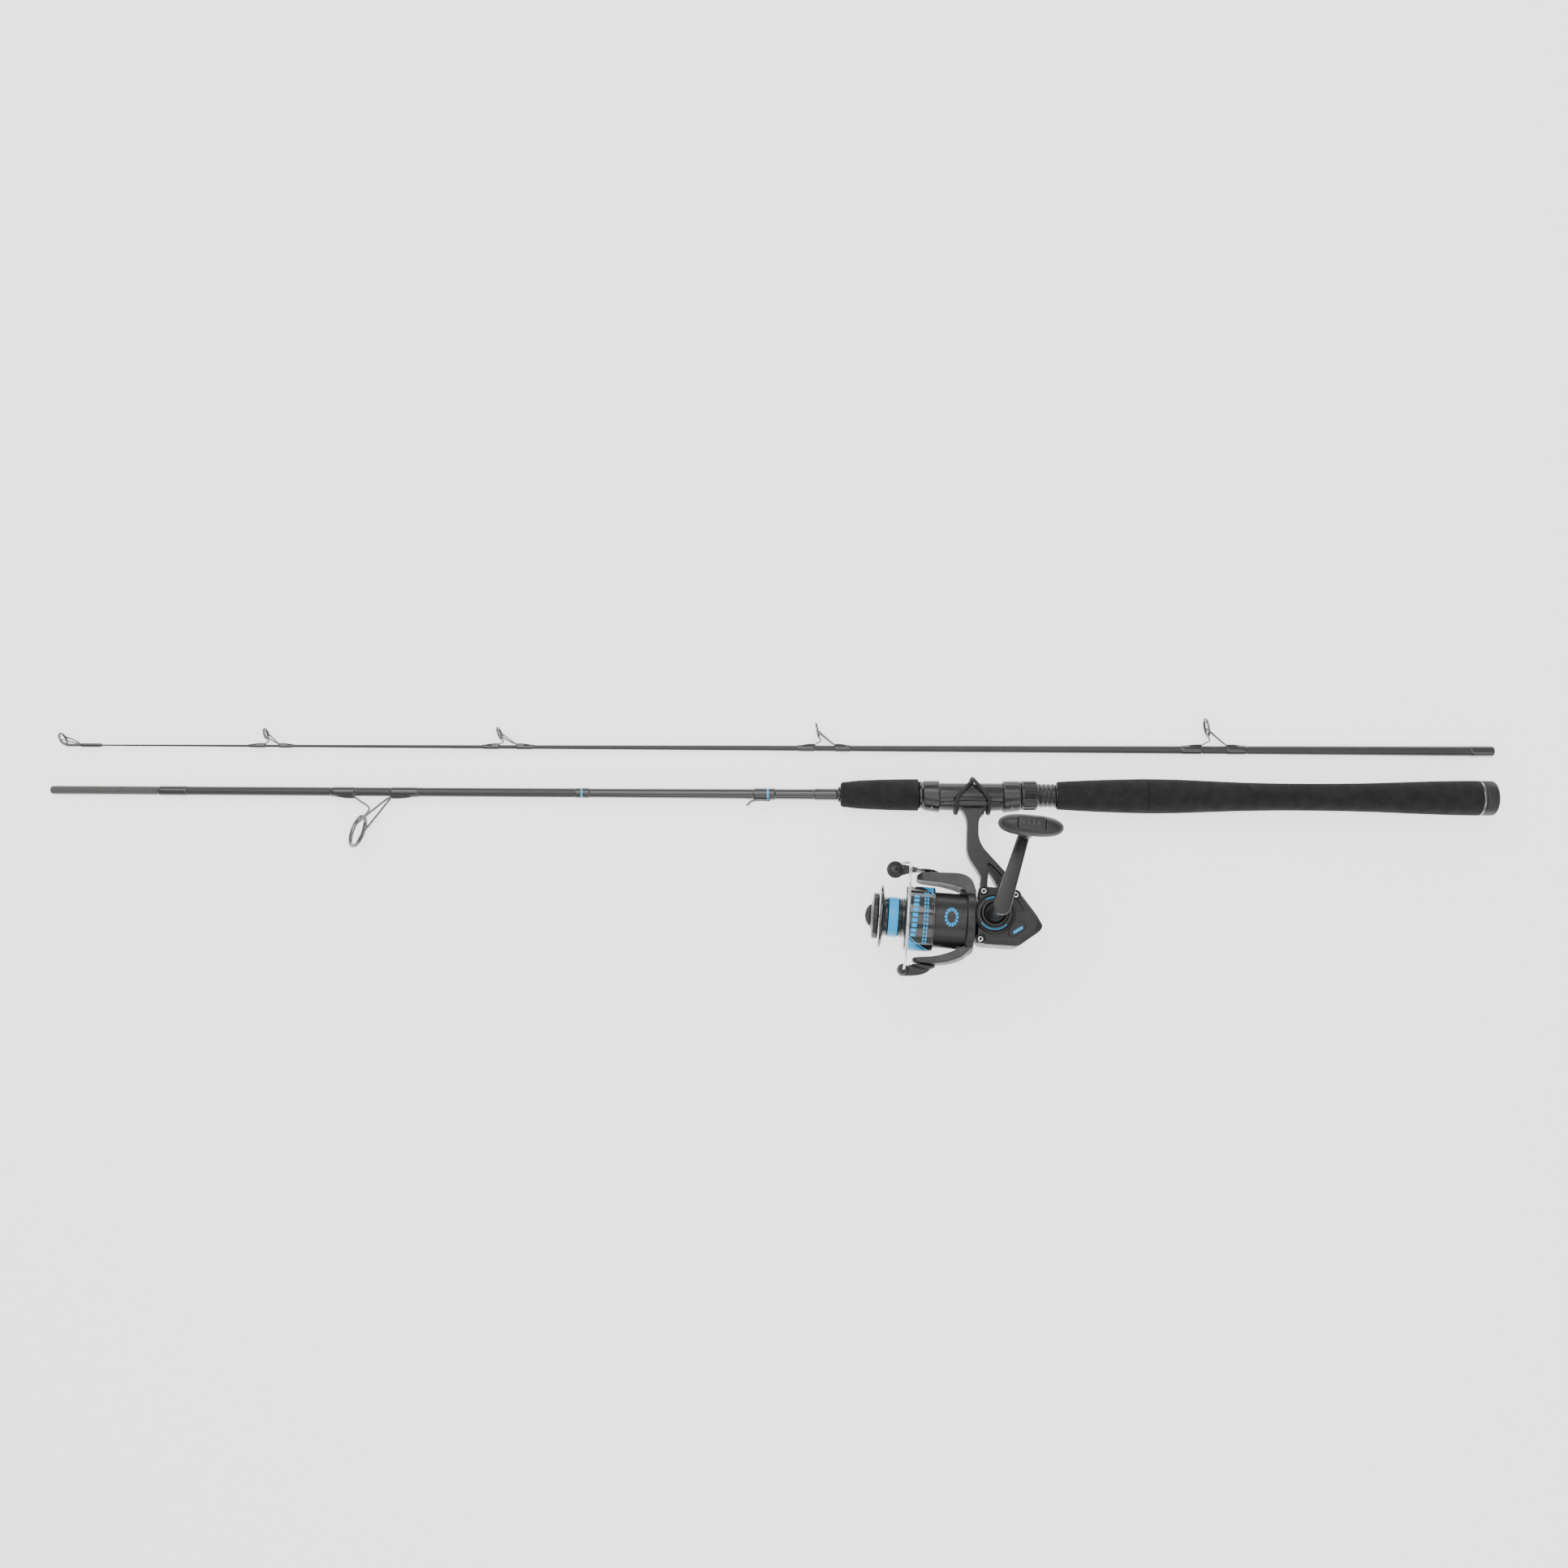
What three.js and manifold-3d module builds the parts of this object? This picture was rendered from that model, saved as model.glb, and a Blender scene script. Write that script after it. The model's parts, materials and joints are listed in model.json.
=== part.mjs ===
// Two-piece spinning rod with a fixed-spool reel, laid flat on a table.
// Millimetres, +Z up. X runs along the rod towards the butt, Y across the table.
import * as THREE from 'three';
import { mergeVertices } from 'three/addons/utils/BufferGeometryUtils.js';
import Module from 'manifold-3d';

const wasm = await Module();
wasm.setup();

// ---- how the two sections lie ----
const deg = THREE.MathUtils.degToRad;
const ROLL = deg(14.4);          // the reel lies on its handle cap, so the butt section is rolled
const BUTT_PITCH = deg(0.773);   // the slim end lies lower than the thick grip
const BUTT_AXIS_Z = 14.48;       // height of the rod axis over the table at the reel stem
const TIP_ROLL = deg(11.5);      // the tip section leans on its guide rings
const TIP_PITCH = deg(-0.04);
const TIP_YAW = deg(0.075);
const TIP_AXIS_Z = 4.62;
const TIP_OFFSET = 40.6;         // between the two rod axes

// ---- rod, stations along X measured from the reel stem ----
const SPIGOT_END = -809.3;
const SPIGOT_SHOULDER = -714.5;
const SPIGOT_R = 3.65;
const BUTT_R = 5.0;
const WALL = 1.2;
const GAP = 0.3;
const CHECK_X = -117.7;
const FORE_GRIP = [-114.1, -47.4];
const HOOD_X = [-43.5, -28.8];
const SLIDE_X = [26.2, 41.6];
const NUT_X = [42.0, 56.2];
const BARREL_R = 10.65;
const FOOT_X = [-41, 39.2];      // ends of the reel foot
const HOOD_R = 12.6;
const THREAD_PITCH = 3.9;
const TIE_R = 1.4;
const STRUT_SPREAD = deg(82);    // round the guide ring from its lowest point
const REAR_GRIP = [73.6, 438.6];
const GRIP_SEAM = 151;
const BUTT_TRIM = [438.9, 441.1];
const CAP_X = [441.4, 453];
const TIP_START = -795.4;        // ends of the tip section's blank
const TIP_END = 459.2;
const SOCKET_DEPTH = 95;
const SOCKET_R = 3.8;

// ---- reel, in its own frame: X along the spool axis, Y towards the rod, Z to the handle ----
const REEL_TILT = deg(3.9);
const REEL_AT = new THREE.Vector3(14.1, -113.6, 0);
const HANDLE_Y = 6;
const SPOOL_LIP_R = 27.2;
const SKIRT_R = 27.5;
const CUP_R = 23.7;
const BAIL_X = -57;
const ROTOR_FRONT = -22.8;       // front and back of the rotor's rear ring
const ROTOR_BACK = -15.6;
const ROTOR_DISH = -18.2;        // the back is dished behind the ring, clear of the cover's boss
const SKIRT_END = -49.9;
const CRANK_ENDS = [[0.9, 3.6], [16.3, 65.2]];
const CRANK_Z = [63, 70.4];
const KNOB_AT = [17.2, 65.2];
const KNOB_Z = 100;
const COVER_Z = [13.1, 18.6];
const FAR_WALL_Z = -19.5;
const GEAR_TEETH = 45;
const PINION_TEETH = 8;
const SLIDER_GEAR = [20.1, HANDLE_Y];
const SCREWS = [[-9.6, 24.6], [17.4, 23.4], [-10.6, -16.4]];

// ---- materials ----
function finish(color, roughness, metalness) {
  return new THREE.MeshStandardMaterial({ color, roughness, metalness });
}
const finishes = {
  blank: () => finish(0x34353a, 0.45, 0.1),
  foam: () => finish(0x1d1c1c, 0.95, 0),
  plastic: () => finish(0x26272a, 0.5, 0.1),
  graphite: () => finish(0x2c2d30, 0.42, 0.3),
  rubber: () => finish(0x161617, 0.8, 0),
  blue: () => finish(0x1fb0e0, 0.4, 0.3),
  steel: () => finish(0xb9bcc0, 0.22, 1),
  dark_chrome: () => finish(0x5a5c60, 0.3, 0.9),
  ceramic: () => finish(0x24262a, 0.25, 0.1),
  brass: () => finish(0xb08d4a, 0.35, 1),
  spool: () => finish(0x1b1c1f, 0.25, 0.5),
};

// ---- solid tools ----
function toManifold(geometry) {
  const bare = geometry.clone();
  bare.deleteAttribute('normal');
  bare.deleteAttribute('uv');
  const welded = mergeVertices(bare, 1e-4);
  const place = welded.attributes.position.array;
  const index = welded.index.array;
  const corner = (i) => new THREE.Vector3().fromArray(place, 3 * i);
  const triangles = [];
  let volume = 0;
  for (let i = 0; i < index.length; i += 3) {
    const [a, b, c] = [index[i], index[i + 1], index[i + 2]];
    if (a === b || b === c || c === a) continue;
    triangles.push(a, b, c);
    volume += corner(a).dot(corner(b).cross(corner(c)));
  }
  if (volume < 0) triangles.reverse();
  return new wasm.Manifold(new wasm.Mesh({
    numProp: 3,
    vertProperties: Float32Array.from(place),
    triVerts: Uint32Array.from(triangles),
  }));
}

function toGeometry(manifold) {
  const mesh = manifold.getMesh();
  const geometry = new THREE.BufferGeometry();
  geometry.setAttribute('position', new THREE.BufferAttribute(mesh.vertProperties, 3));
  geometry.setIndex(new THREE.BufferAttribute(mesh.triVerts, 1));
  return geometry;
}

const join = (...pieces) => toGeometry(pieces.map(toManifold).reduce((a, b) => a.add(b)));
const cut = (...pieces) => toGeometry(pieces.map(toManifold).reduce((a, b) => a.subtract(b)));
const common = (...pieces) => toGeometry(pieces.map(toManifold).reduce((a, b) => a.intersect(b)));

// Solid of revolution from [station, radius] points; the axis is x, y or z.
function turned(profile, axis = 'x', sides = 20) {
  const geometry = new THREE.LatheGeometry(profile.map(([s, r]) => new THREE.Vector2(r, s)), sides);
  if (axis === 'x') geometry.rotateZ(-Math.PI / 2);
  if (axis === 'z') geometry.rotateX(Math.PI / 2);
  return toGeometry(toManifold(geometry));
}

const disc = (from, to, r, axis, sides) =>
  turned([[from, 0], [from, r], [to, r], [to, 0]], axis, sides);

const ring = (from, to, inner, outer, axis, sides) =>
  turned([[from, inner], [from, outer], [to, outer], [to, inner], [from, inner]], axis, sides);

// Rounded bar or tube with small chamfers, bored through along its axis.
function sleeve(from, to, inner, outer, axis, sides, edge = 0.6) {
  return turned([
    [from, inner], [from, outer - edge], [from + edge, outer],
    [to - edge, outer], [to, outer - edge], [to, inner], [from, inner],
  ], axis, sides);
}

function outline(points, holes = []) {
  const shape = new THREE.Shape(points.map(([x, y]) => new THREE.Vector2(x, y)));
  shape.holes = holes.map((h) => new THREE.Path(h.map(([x, y]) => new THREE.Vector2(x, y))));
  return shape;
}

// Flat plate in XY between two heights.
function plate(shape, from, to) {
  const settings = { depth: to - from, bevelEnabled: false, curveSegments: 6 };
  return new THREE.ExtrudeGeometry(shape, settings).translate(0, 0, from);
}

// Round wire along a smooth curve through points.
function wire(points, r, steps, sides = 5) {
  const path = new THREE.CatmullRomCurve3(points.map((p) => new THREE.Vector3(...p)), false,
    'centripetal');
  const circle = new THREE.Shape().absarc(0, 0, r, 0, 2 * Math.PI);
  const settings = { steps, extrudePath: path, curveSegments: sides / 2 };
  return toGeometry(toManifold(new THREE.ExtrudeGeometry(circle, settings)));
}

// Closed skin through rings of points, with a flat fan over each end.
function loft(rings) {
  const count = rings[0].length;
  const index = [];
  for (let j = 0; j + 1 < rings.length; j += 1) {
    for (let i = 0; i < count; i += 1) {
      const a = j * count + i;
      const b = j * count + ((i + 1) % count);
      index.push(a, b, a + count, b, b + count, a + count);
    }
  }
  const last = (rings.length - 1) * count;
  for (let i = 1; i + 1 < count; i += 1) {
    index.push(0, i + 1, i);
    index.push(last, last + i, last + i + 1);
  }
  const geometry = new THREE.BufferGeometry().setFromPoints(rings.flat());
  geometry.setIndex(index);
  return toGeometry(toManifold(geometry));
}

// Ellipse of points around an axis point, used as a loft ring square to X.
function oval(x, y, z, halfY, halfZ, count = 16) {
  return Array.from({ length: count }, (_, i) => {
    const a = (2 * Math.PI * i) / count;
    return new THREE.Vector3(x, y + halfY * Math.cos(a), z + halfZ * Math.sin(a));
  });
}

// Smooth [station, radius] profile through a few control points.
function smooth(points, count) {
  const curve = new THREE.SplineCurve(points.map(([x, r]) => new THREE.Vector2(x, r)));
  return curve.getPoints(count).map((p) => [p.x, p.y]);
}

function part(name, geometry, look, group) {
  const mesh = new THREE.Mesh(geometry, finishes[look]());
  mesh.name = name;
  group.add(mesh);
  return mesh;
}

// ---- scene graph ----
const rod = new THREE.Group();
const butt = new THREE.Group();
const reel = new THREE.Group();
const tip = new THREE.Group();
butt.rotation.set(-ROLL, -BUTT_PITCH, 0, 'YXZ');
butt.position.z = BUTT_AXIS_Z;
reel.rotation.z = -REEL_TILT;
reel.position.copy(REEL_AT);
tip.rotation.set(TIP_ROLL, -TIP_PITCH, TIP_YAW, 'ZYX');
tip.position.set(0, TIP_OFFSET, TIP_AXIS_Z);
rod.add(butt, tip);
butt.add(reel);

// ---- rod: blanks ----
function addButtBlank() {
  const outer = [
    [SPIGOT_END, 3.0], [SPIGOT_END + 0.9, 3.45], [SPIGOT_END + 2.6, SPIGOT_R],
    [SPIGOT_SHOULDER, SPIGOT_R], [SPIGOT_SHOULDER + 0.5, 3.75], [-353, 4.08],
    [-118, 4.8], [-45, BUTT_R], [CAP_X[0] - GAP, BUTT_R],
  ];
  const inner = [[CAP_X[0] - GAP, BUTT_R - WALL], [-353, 4.08 - WALL], [SPIGOT_END, 2.2]];
  part('butt_blank', turned([...outer, ...inner, outer[0]], 'x', 18), 'blank', butt);
}

function addGrips() {
  const bore = BUTT_R + GAP;
  const fore = smooth([
    [FORE_GRIP[0], 10.2], [-109, 11.3], [-100, 12.3], [-87, 13], [-69, 13.6], [FORE_GRIP[1], 13.9],
  ], 9);
  const foreEnds = [[FORE_GRIP[1], bore], [FORE_GRIP[0] - 0.9, bore], [FORE_GRIP[0] - 0.9, 9.3]];
  part('fore_grip', turned([...fore, ...foreEnds, fore[0]]), 'foam', butt);

  const front = smooth([
    [REAR_GRIP[0] + 0.8, 12.4], [83, 12.7], [106, 13.85], [131, 14.7], [GRIP_SEAM - 0.2, 15.1],
  ], 7);
  const frontEnds = [[GRIP_SEAM - 0.2, bore], [REAR_GRIP[0], bore], [REAR_GRIP[0], 11.5]];
  part('rear_grip_front', turned([...front, ...frontEnds, front[0]]), 'foam', butt);

  const rear = smooth([
    [GRIP_SEAM + 0.2, 15.1], [175, 14.8], [210, 13.45], [239, 12.4], [280, 11.85], [315, 12.05],
    [350, 12.75], [384, 14], [419, 15], [REAR_GRIP[1], 15.2],
  ], 13);
  const rearEnds = [[REAR_GRIP[1], bore], [GRIP_SEAM + 0.2, bore]];
  part('rear_grip_rear', turned([...rear, ...rearEnds, rear[0]]), 'foam', butt);

  part('grip_trim_ring', sleeve(FORE_GRIP[1] + 0.4, HOOD_X[0] - GAP, bore, 12.4), 'plastic', butt);
  part('butt_trim_ring', sleeve(...BUTT_TRIM, bore, 15.3), 'steel', butt);
  const [capStart, capEnd] = CAP_X;
  const cap = turned([[capStart, 0], [capStart, 15.2], [capEnd - 2, 15.1], [capEnd - 0.6, 14.2],
    [capEnd, 13.2], [capEnd, 0]]);
  part('butt_cap', cap, 'rubber', butt);
  part('winding_check', sleeve(CHECK_X, CHECK_X + 2.4, 5.2, 7.0), 'dark_chrome', butt);
}

// ---- rod: reel seat ----
// Fore and aft cone of the hoods: a round sleeve whose underside swells over the foot.
function hoodShell(x0, bulge0, x1, bulge1) {
  const section = (x, r, bulge) => Array.from({ length: 28 }, (_, i) => {
    const a = (2 * Math.PI * i) / 28;
    const reach = r + bulge * Math.max(0, -Math.cos(a)) ** 2;
    return new THREE.Vector3(x, reach * Math.cos(a), reach * Math.sin(a));
  });
  return loft([
    section(x0, HOOD_R - 0.6, bulge0), section(x0 + 0.8, HOOD_R, bulge0),
    section(x1 - 0.8, HOOD_R, bulge1), section(x1, HOOD_R - 0.6, bulge1),
  ]);
}

// The foot is a saddle: a tapered ring round the barrel, trimmed to a boat-shaped plan.
function footSaddle(clear) {
  const [toeX, heelX] = [FOOT_X[0] - clear, FOOT_X[1] + clear];
  const outer = [
    [heelX, 12.1], [36, 12.5], [16, 13.7], [0, 14.1], [-16, 13.7], [-36, 12.5], [toeX, 12.1],
  ].map(([x, r]) => [x, r + clear]);
  const inner = BARREL_R + GAP;
  const body = turned([...outer, [toeX, inner], [heelX, inner], outer[0]], 'x', 32);
  const middle = 0.5 * (toeX + heelX);
  const plan = [];
  for (let i = 0; i < 24; i += 1) {
    const a = (2 * Math.PI * i) / 24;
    const reach = (value, power) => Math.sign(value) * Math.abs(value) ** power;
    plan.push([middle + (heelX - middle) * reach(Math.cos(a), 0.7),
      (8.6 + clear) * reach(Math.sin(a), 0.55)]);
  }
  const trim = plate(outline(plan), 4, 20).rotateX(Math.PI / 2);
  return common(body, trim);
}

function addSeat() {
  const barrel = [[HOOD_X[0] + 0.4, BARREL_R], [NUT_X[1] - 0.5, BARREL_R]];
  for (let x = NUT_X[1]; x < REAR_GRIP[0] - 3; x += THREAD_PITCH) {
    barrel.push([x, 9.8], [x + 1.1, 9.8], [x + 1.9, BARREL_R], [x + 3.1, BARREL_R]);
  }
  barrel.push([REAR_GRIP[0] - GAP, 9.8], [REAR_GRIP[0] - GAP, 5.3], [HOOD_X[0] + 0.4, 5.3]);
  part('seat_barrel', turned([...barrel, barrel[0]], 'x', 16), 'plastic', butt);

  const bore = disc(-60, 80, BARREL_R + 0.35, 'x', 32);
  const pocket = footSaddle(0.35);
  part('fixed_hood', cut(hoodShell(HOOD_X[0], 0.7, HOOD_X[1], 2.8), bore, pocket), 'plastic', butt);
  part('sliding_hood', cut(hoodShell(SLIDE_X[0], 2.7, SLIDE_X[1], 1.0), bore, pocket),
    'plastic', butt);
  const [nutStart, nutEnd] = NUT_X;
  const nut = [[nutStart, 11], [nutStart, 12.3], [nutStart + 0.7, 12.75], [nutEnd - 1.5, 12.75],
    [nutEnd, 11.9], [nutEnd, 11], [nutStart, 11]];
  part('lock_nut', turned(nut, 'x', 24), 'plastic', butt);
}

// Rubber loop in a figure of eight: over the barrel, and under the foot on both sides of the stem.
function addTie() {
  const points = [];
  const count = 24;
  for (let i = 0; i < count; i += 1) {
    const turn = (4 * Math.PI * i) / count;
    const side = turn < 2 * Math.PI ? -14.6 : 13.6;
    const around = turn % (2 * Math.PI);
    const under = (1 - Math.cos(around)) / 2;
    const x = side * Math.min(1, 1.35 * under);
    const lift = 2.8 * Math.exp(-(((turn - 2 * Math.PI) / 0.7) ** 2));
    const r = BARREL_R + TIE_R + 0.2 + 4.1 * under ** 2.5 + lift;
    points.push(new THREE.Vector3(x, r * Math.cos(around), r * Math.sin(around)));
  }
  const loop = new THREE.CatmullRomCurve3(points, true, 'centripetal');
  part('reel_tie', new THREE.TubeGeometry(loop, 48, TIE_R, 6, true), 'rubber', butt);
}

function addHookKeeper() {
  const keeper = wire([
    [-177, -5.6, 2.2], [-189, -5.6, 2.3], [-192.5, -6.3, 2.3], [-196, -9.4, 1.9], [-197, -10.6, 0],
    [-196, -9.4, -1.9], [-192.5, -6.3, -2.3], [-189, -5.6, -2.3], [-177, -5.6, -2.2],
  ], 0.55, 16);
  part('hook_keeper', keeper, 'dark_chrome', butt);
}

// ---- rod: guides ----
// A guide stands in the local XY plane: the ring's centre is at [x, height] over the rod axis.
// Its two feet lie along the blank, ahead of and behind the ring.
function guide(name, group, side, spec) {
  const { x, height, ringR, blankR, frontFoot, rearFoot, legR } = spec;
  const lean = deg(spec.lean);
  const holder = new THREE.TorusGeometry(ringR - legR, legR, 5, 16).rotateY(Math.PI / 2);
  holder.rotateZ(lean).translate(x, height, 0);
  const down = ringR - legR;
  const base = blankR + legR + GAP;
  const ringPoint = (angle) => [
    x + Math.cos(angle) * down * Math.sin(lean),
    height - Math.cos(angle) * down * Math.cos(lean),
    down * Math.sin(angle),
  ];
  const bottom = ringPoint(0);
  const drop = bottom[1] - base;
  const front = wire([
    [frontFoot[0], base, 0], [frontFoot[1] - 2, base, 0], [frontFoot[1], base + 0.3, 0],
    [frontFoot[1] + 0.6 * (bottom[0] - frontFoot[1]), base + 0.22 * drop, 0],
    [bottom[0] + 0.24 * drop, base + 0.58 * drop, 0], bottom,
  ], legR, 8);
  const strut = (top) => wire([
    top, [0.5 * (top[0] + rearFoot[0]), 0.5 * (top[1] + base) - 0.02 * height, 0.6 * top[2]],
    [rearFoot[0], base + 0.3, 0], [rearFoot[0] + 2, base, 0], [rearFoot[1], base, 0],
  ], legR, 7);
  const frame = join(front, strut(ringPoint(STRUT_SPREAD)), strut(ringPoint(-STRUT_SPREAD)), holder);
  const insert = new THREE.TorusGeometry(ringR - 1.81 * legR - 0.75, 0.5, 5, 14)
    .rotateY(Math.PI / 2).rotateZ(lean).translate(x, height, 0);
  const flip = side < 0 ? Math.PI : 0;
  frame.rotateX(flip);
  insert.rotateX(flip);
  part(`${name}_frame`, frame, 'dark_chrome', group);
  part(`${name}_ring`, insert, 'ceramic', group);
}

function addButtGuide() {
  guide('stripper_guide', butt, -1, {
    x: -536, height: 35.6, ringR: 15.2, lean: 18, blankR: 4, legR: 1.1,
    frontFoot: [-560.6, -541.5], rearFoot: [-508.9, -486.6],
  });
}

function addTipGuides() {
  const specs = [
    {
      x: -619.6, height: 11, ringR: 5.4, lean: 14, blankR: 1.15,
      frontFoot: [-634.3, -621], rearFoot: [-608.6, -596.5],
    },
    {
      x: -414.4, height: 12.1, ringR: 6.35, lean: 21, blankR: 1.7,
      frontFoot: [-428.9, -415.3], rearFoot: [-399.8, -385.5],
    },
    {
      x: -135.4, height: 16.2, ringR: 7.1, lean: 12, blankR: 2.5,
      frontFoot: [-151.9, -138], rearFoot: [-119.9, -106.8],
    },
    {
      x: 206, height: 20.1, ringR: 8.65, lean: 10, blankR: 3.6,
      frontFoot: [185.4, 202], rearFoot: [224.6, 240.6],
    },
  ];
  specs.forEach((spec, i) => guide(`guide_${i + 1}`, tip, 1, { ...spec, legR: 0.65 }));
}

function addTipTop() {
  const ringR = 6.4;
  const lean = deg(25);
  const [x, height] = [TIP_START - 2.8, 5.4];
  const tube = disc(TIP_START - 0.1, TIP_START + 30, 1.35, 'x', 10);
  const holder = new THREE.TorusGeometry(ringR - 0.6, 0.6, 5, 16).rotateY(Math.PI / 2);
  holder.rotateZ(lean).translate(x, height, 0);
  const struts = [-1, 1].map((side) => wire([
    [x, height + 0.8, side * 5.8], [x + 8, 3.8, side * 3.9], [x + 14.5, 1.3, side * 0.9],
  ], 0.6, 5));
  const socket = disc(TIP_START - GAP, TIP_START + 60, 0.95, 'x', 10);
  const frame = cut(join(tube, holder, ...struts), socket);
  part('tip_top_frame', frame, 'dark_chrome', tip);
  const insert = new THREE.TorusGeometry(ringR - 1.8, 0.45, 5, 14).rotateY(Math.PI / 2);
  part('tip_top_ring', insert.rotateZ(lean).translate(x, height, 0), 'ceramic', tip);
}

function addTipBlank() {
  const outer = [
    [TIP_START, 0.62], [-615, 1.13], [-412, 1.67], [-130, 2.48], [216, 3.55], [437.5, 4.33],
    [438, 4.7], [TIP_END - 1, 4.7], [TIP_END, 4.4],
  ];
  const deep = TIP_END - SOCKET_DEPTH;
  const bore = [[TIP_END, SOCKET_R], [deep + 30, SOCKET_R], [deep, 2.6], [deep, 0]];
  part('tip_blank', turned([[TIP_START, 0], ...outer, ...bore], 'x', 18), 'blank', tip);
}

// ---- reel: body ----
const HOUSING = [
  [-14, 27.5], [-11.5, 29], [19, 29], [35.8, 8.6], [41.8, -1], [39.5, -5.5], [21.6, -19.9],
  [-11, -20.1], [-14, -17.6],
];
const HOUSING_CENTRE = [10, 4];

// The housing outline drawn in towards its centre, then moved inward by a wall.
function housingRing(z, scale, wall = 0) {
  return HOUSING.map(([x, y]) => {
    const [dx, dy] = [x - HOUSING_CENTRE[0], y - HOUSING_CENTRE[1]];
    const inset = scale * (1 - wall / Math.hypot(dx, dy));
    return new THREE.Vector3(HOUSING_CENTRE[0] + dx * inset, HOUSING_CENTRE[1] + dy * inset, z);
  });
}

function stem() {
  const edge = new THREE.Shape();
  edge.moveTo(-28.5, 98.6);
  edge.lineTo(-27.5, 93);
  edge.quadraticCurveTo(-25.6, 89, -25.4, 84);
  edge.lineTo(-24.9, 65);
  edge.quadraticCurveTo(-24, 58, -20.9, 53.4);
  edge.lineTo(-11.6, 40.5);
  edge.lineTo(-12, 25.6);
  edge.lineTo(18.5, 25.6);
  edge.lineTo(17.5, 33);
  edge.lineTo(9.2, 45.6);
  edge.lineTo(-8.6, 63.2);
  edge.quadraticCurveTo(-14.6, 70, -15.2, 78);
  edge.lineTo(-15.5, 88);
  edge.quadraticCurveTo(-14.5, 93, -11, 99.8);
  const window = [[-5, 45.2], [-5.5, 31.5], [3.2, 31.5]];
  edge.holes.push(outline(window));
  return plate(edge, -5.2, 5.2);
}

function inButtFrame(geometry) {
  return geometry.rotateZ(-REEL_TILT).translate(REEL_AT.x, REEL_AT.y, REEL_AT.z);
}

function addReelBody() {
  const inner = COVER_Z[0] - GAP;
  const shell = loft([housingRing(FAR_WALL_Z, 0.84), housingRing(-12, 0.95), housingRing(inner, 1)]);
  const cavity = loft([
    housingRing(FAR_WALL_Z + 2.2, 0.84, 2.6), housingRing(-12, 0.95, 2.6), housingRing(inner + 1, 1, 2.6),
  ]);
  const farBoss = turned([[-29.6, 0], [-29.6, 9.2], [-23.5, 9.8], [-22.5, 13], [-17.5, 13.5],
    [-17.5, 0]], 'z').translate(0, HANDLE_Y, 0);
  const farSeat = ring(FAR_WALL_Z + 1, -13, 7.3, 9, 'z').translate(0, HANDLE_Y, 0);
  const gearPost = disc(FAR_WALL_Z + 1, -13.2, 3.2, 'z', 14)
    .translate(SLIDER_GEAR[0], SLIDER_GEAR[1], 0);
  const flange = disc(-20, -11.4, 12.9, 'x', 24);
  const hollowShell = cut(join(shell, flange), cavity);
  const drilled = cut(
    join(hollowShell, farBoss, farSeat, gearPost),
    disc(-60, 10, 3.5, 'z', 16).translate(0, HANDLE_Y, 0),
    disc(-17.3, 10, 7.3, 'z', 24).translate(0, HANDLE_Y, 0),
    disc(-17, 0, 1.8, 'z', 12).translate(SLIDER_GEAR[0], SLIDER_GEAR[1], 0),
    disc(-30, -15, 7.8, 'x', 24),
    disc(-30, 0, 4.6, 'x', 20),
  );
  const trimmed = cut(inButtFrame(join(drilled, stem())), disc(-60, 60, BARREL_R + GAP, 'x', 32));
  part('reel_body', join(trimmed, footSaddle(0)), 'graphite', butt);
}

function addSideCover() {
  const [low, high] = COVER_Z;
  const slab = loft([housingRing(low, 1), housingRing(high - 2.2, 1), housingRing(high, 0.93)]);
  const boss = turned([[low + 1, 0], [low + 1, 17.3], [20.6, 17.3], [21.6, 16.5], [21.6, 12.4],
    [23.4, 11.2], [23.4, 0]], 'z', 28).translate(0, HANDLE_Y, 0);
  const screwHoles = SCREWS.map(([x, y]) => disc(0, 40, 1.6, 'z', 12).translate(x, y, 0));
  const heads = SCREWS.map(([x, y]) => disc(17.1, 40, 2.9, 'z', 14).translate(x, y, 0));
  const seat = disc(0, 18.4, 7.3, 'z').translate(0, HANDLE_Y, 0);
  const hole = disc(0, 40, 4.2, 'z', 16).translate(0, HANDLE_Y, 0);
  part('side_cover', cut(join(slab, boss), seat, hole, ...screwHoles, ...heads), 'graphite', reel);
}

function addScrews() {
  SCREWS.forEach(([x, y], i) => {
    const head = cut(
      join(disc(17.4, 19.6, 2.5, 'z', 14), disc(13.6, 17.5, 1.2, 'z', 10)),
      disc(18.2, 30, 1.1, 'z', 6),
    );
    part(`cover_screw_${i + 1}`, head.translate(x, y, 0), 'steel', reel);
  });
}

function addBearings() {
  part('drive_bearing_near', ring(14.2, 18.1, 3.5, 7.0, 'z', 20).translate(0, HANDLE_Y, 0), 'steel', reel);
  part('drive_bearing_far', ring(-17, -13.4, 3.5, 7.0, 'z', 20).translate(0, HANDLE_Y, 0), 'steel', reel);
  part('pinion_bearing', ring(-19.6, -15.3, 4.2, 7.5, 'x', 20), 'steel', reel);
  part('one_way_clutch', ring(-27, -20.4, 4.2, 12.4, 'x', 20), 'steel', reel);
}

// ---- reel: handle ----
function toothed(teeth, inner, outer) {
  return Array.from({ length: teeth * 2 }, (_, i) => {
    const a = (Math.PI * i) / teeth;
    const r = i % 2 ? inner : outer;
    return [r * Math.cos(a), r * Math.sin(a)];
  });
}

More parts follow.
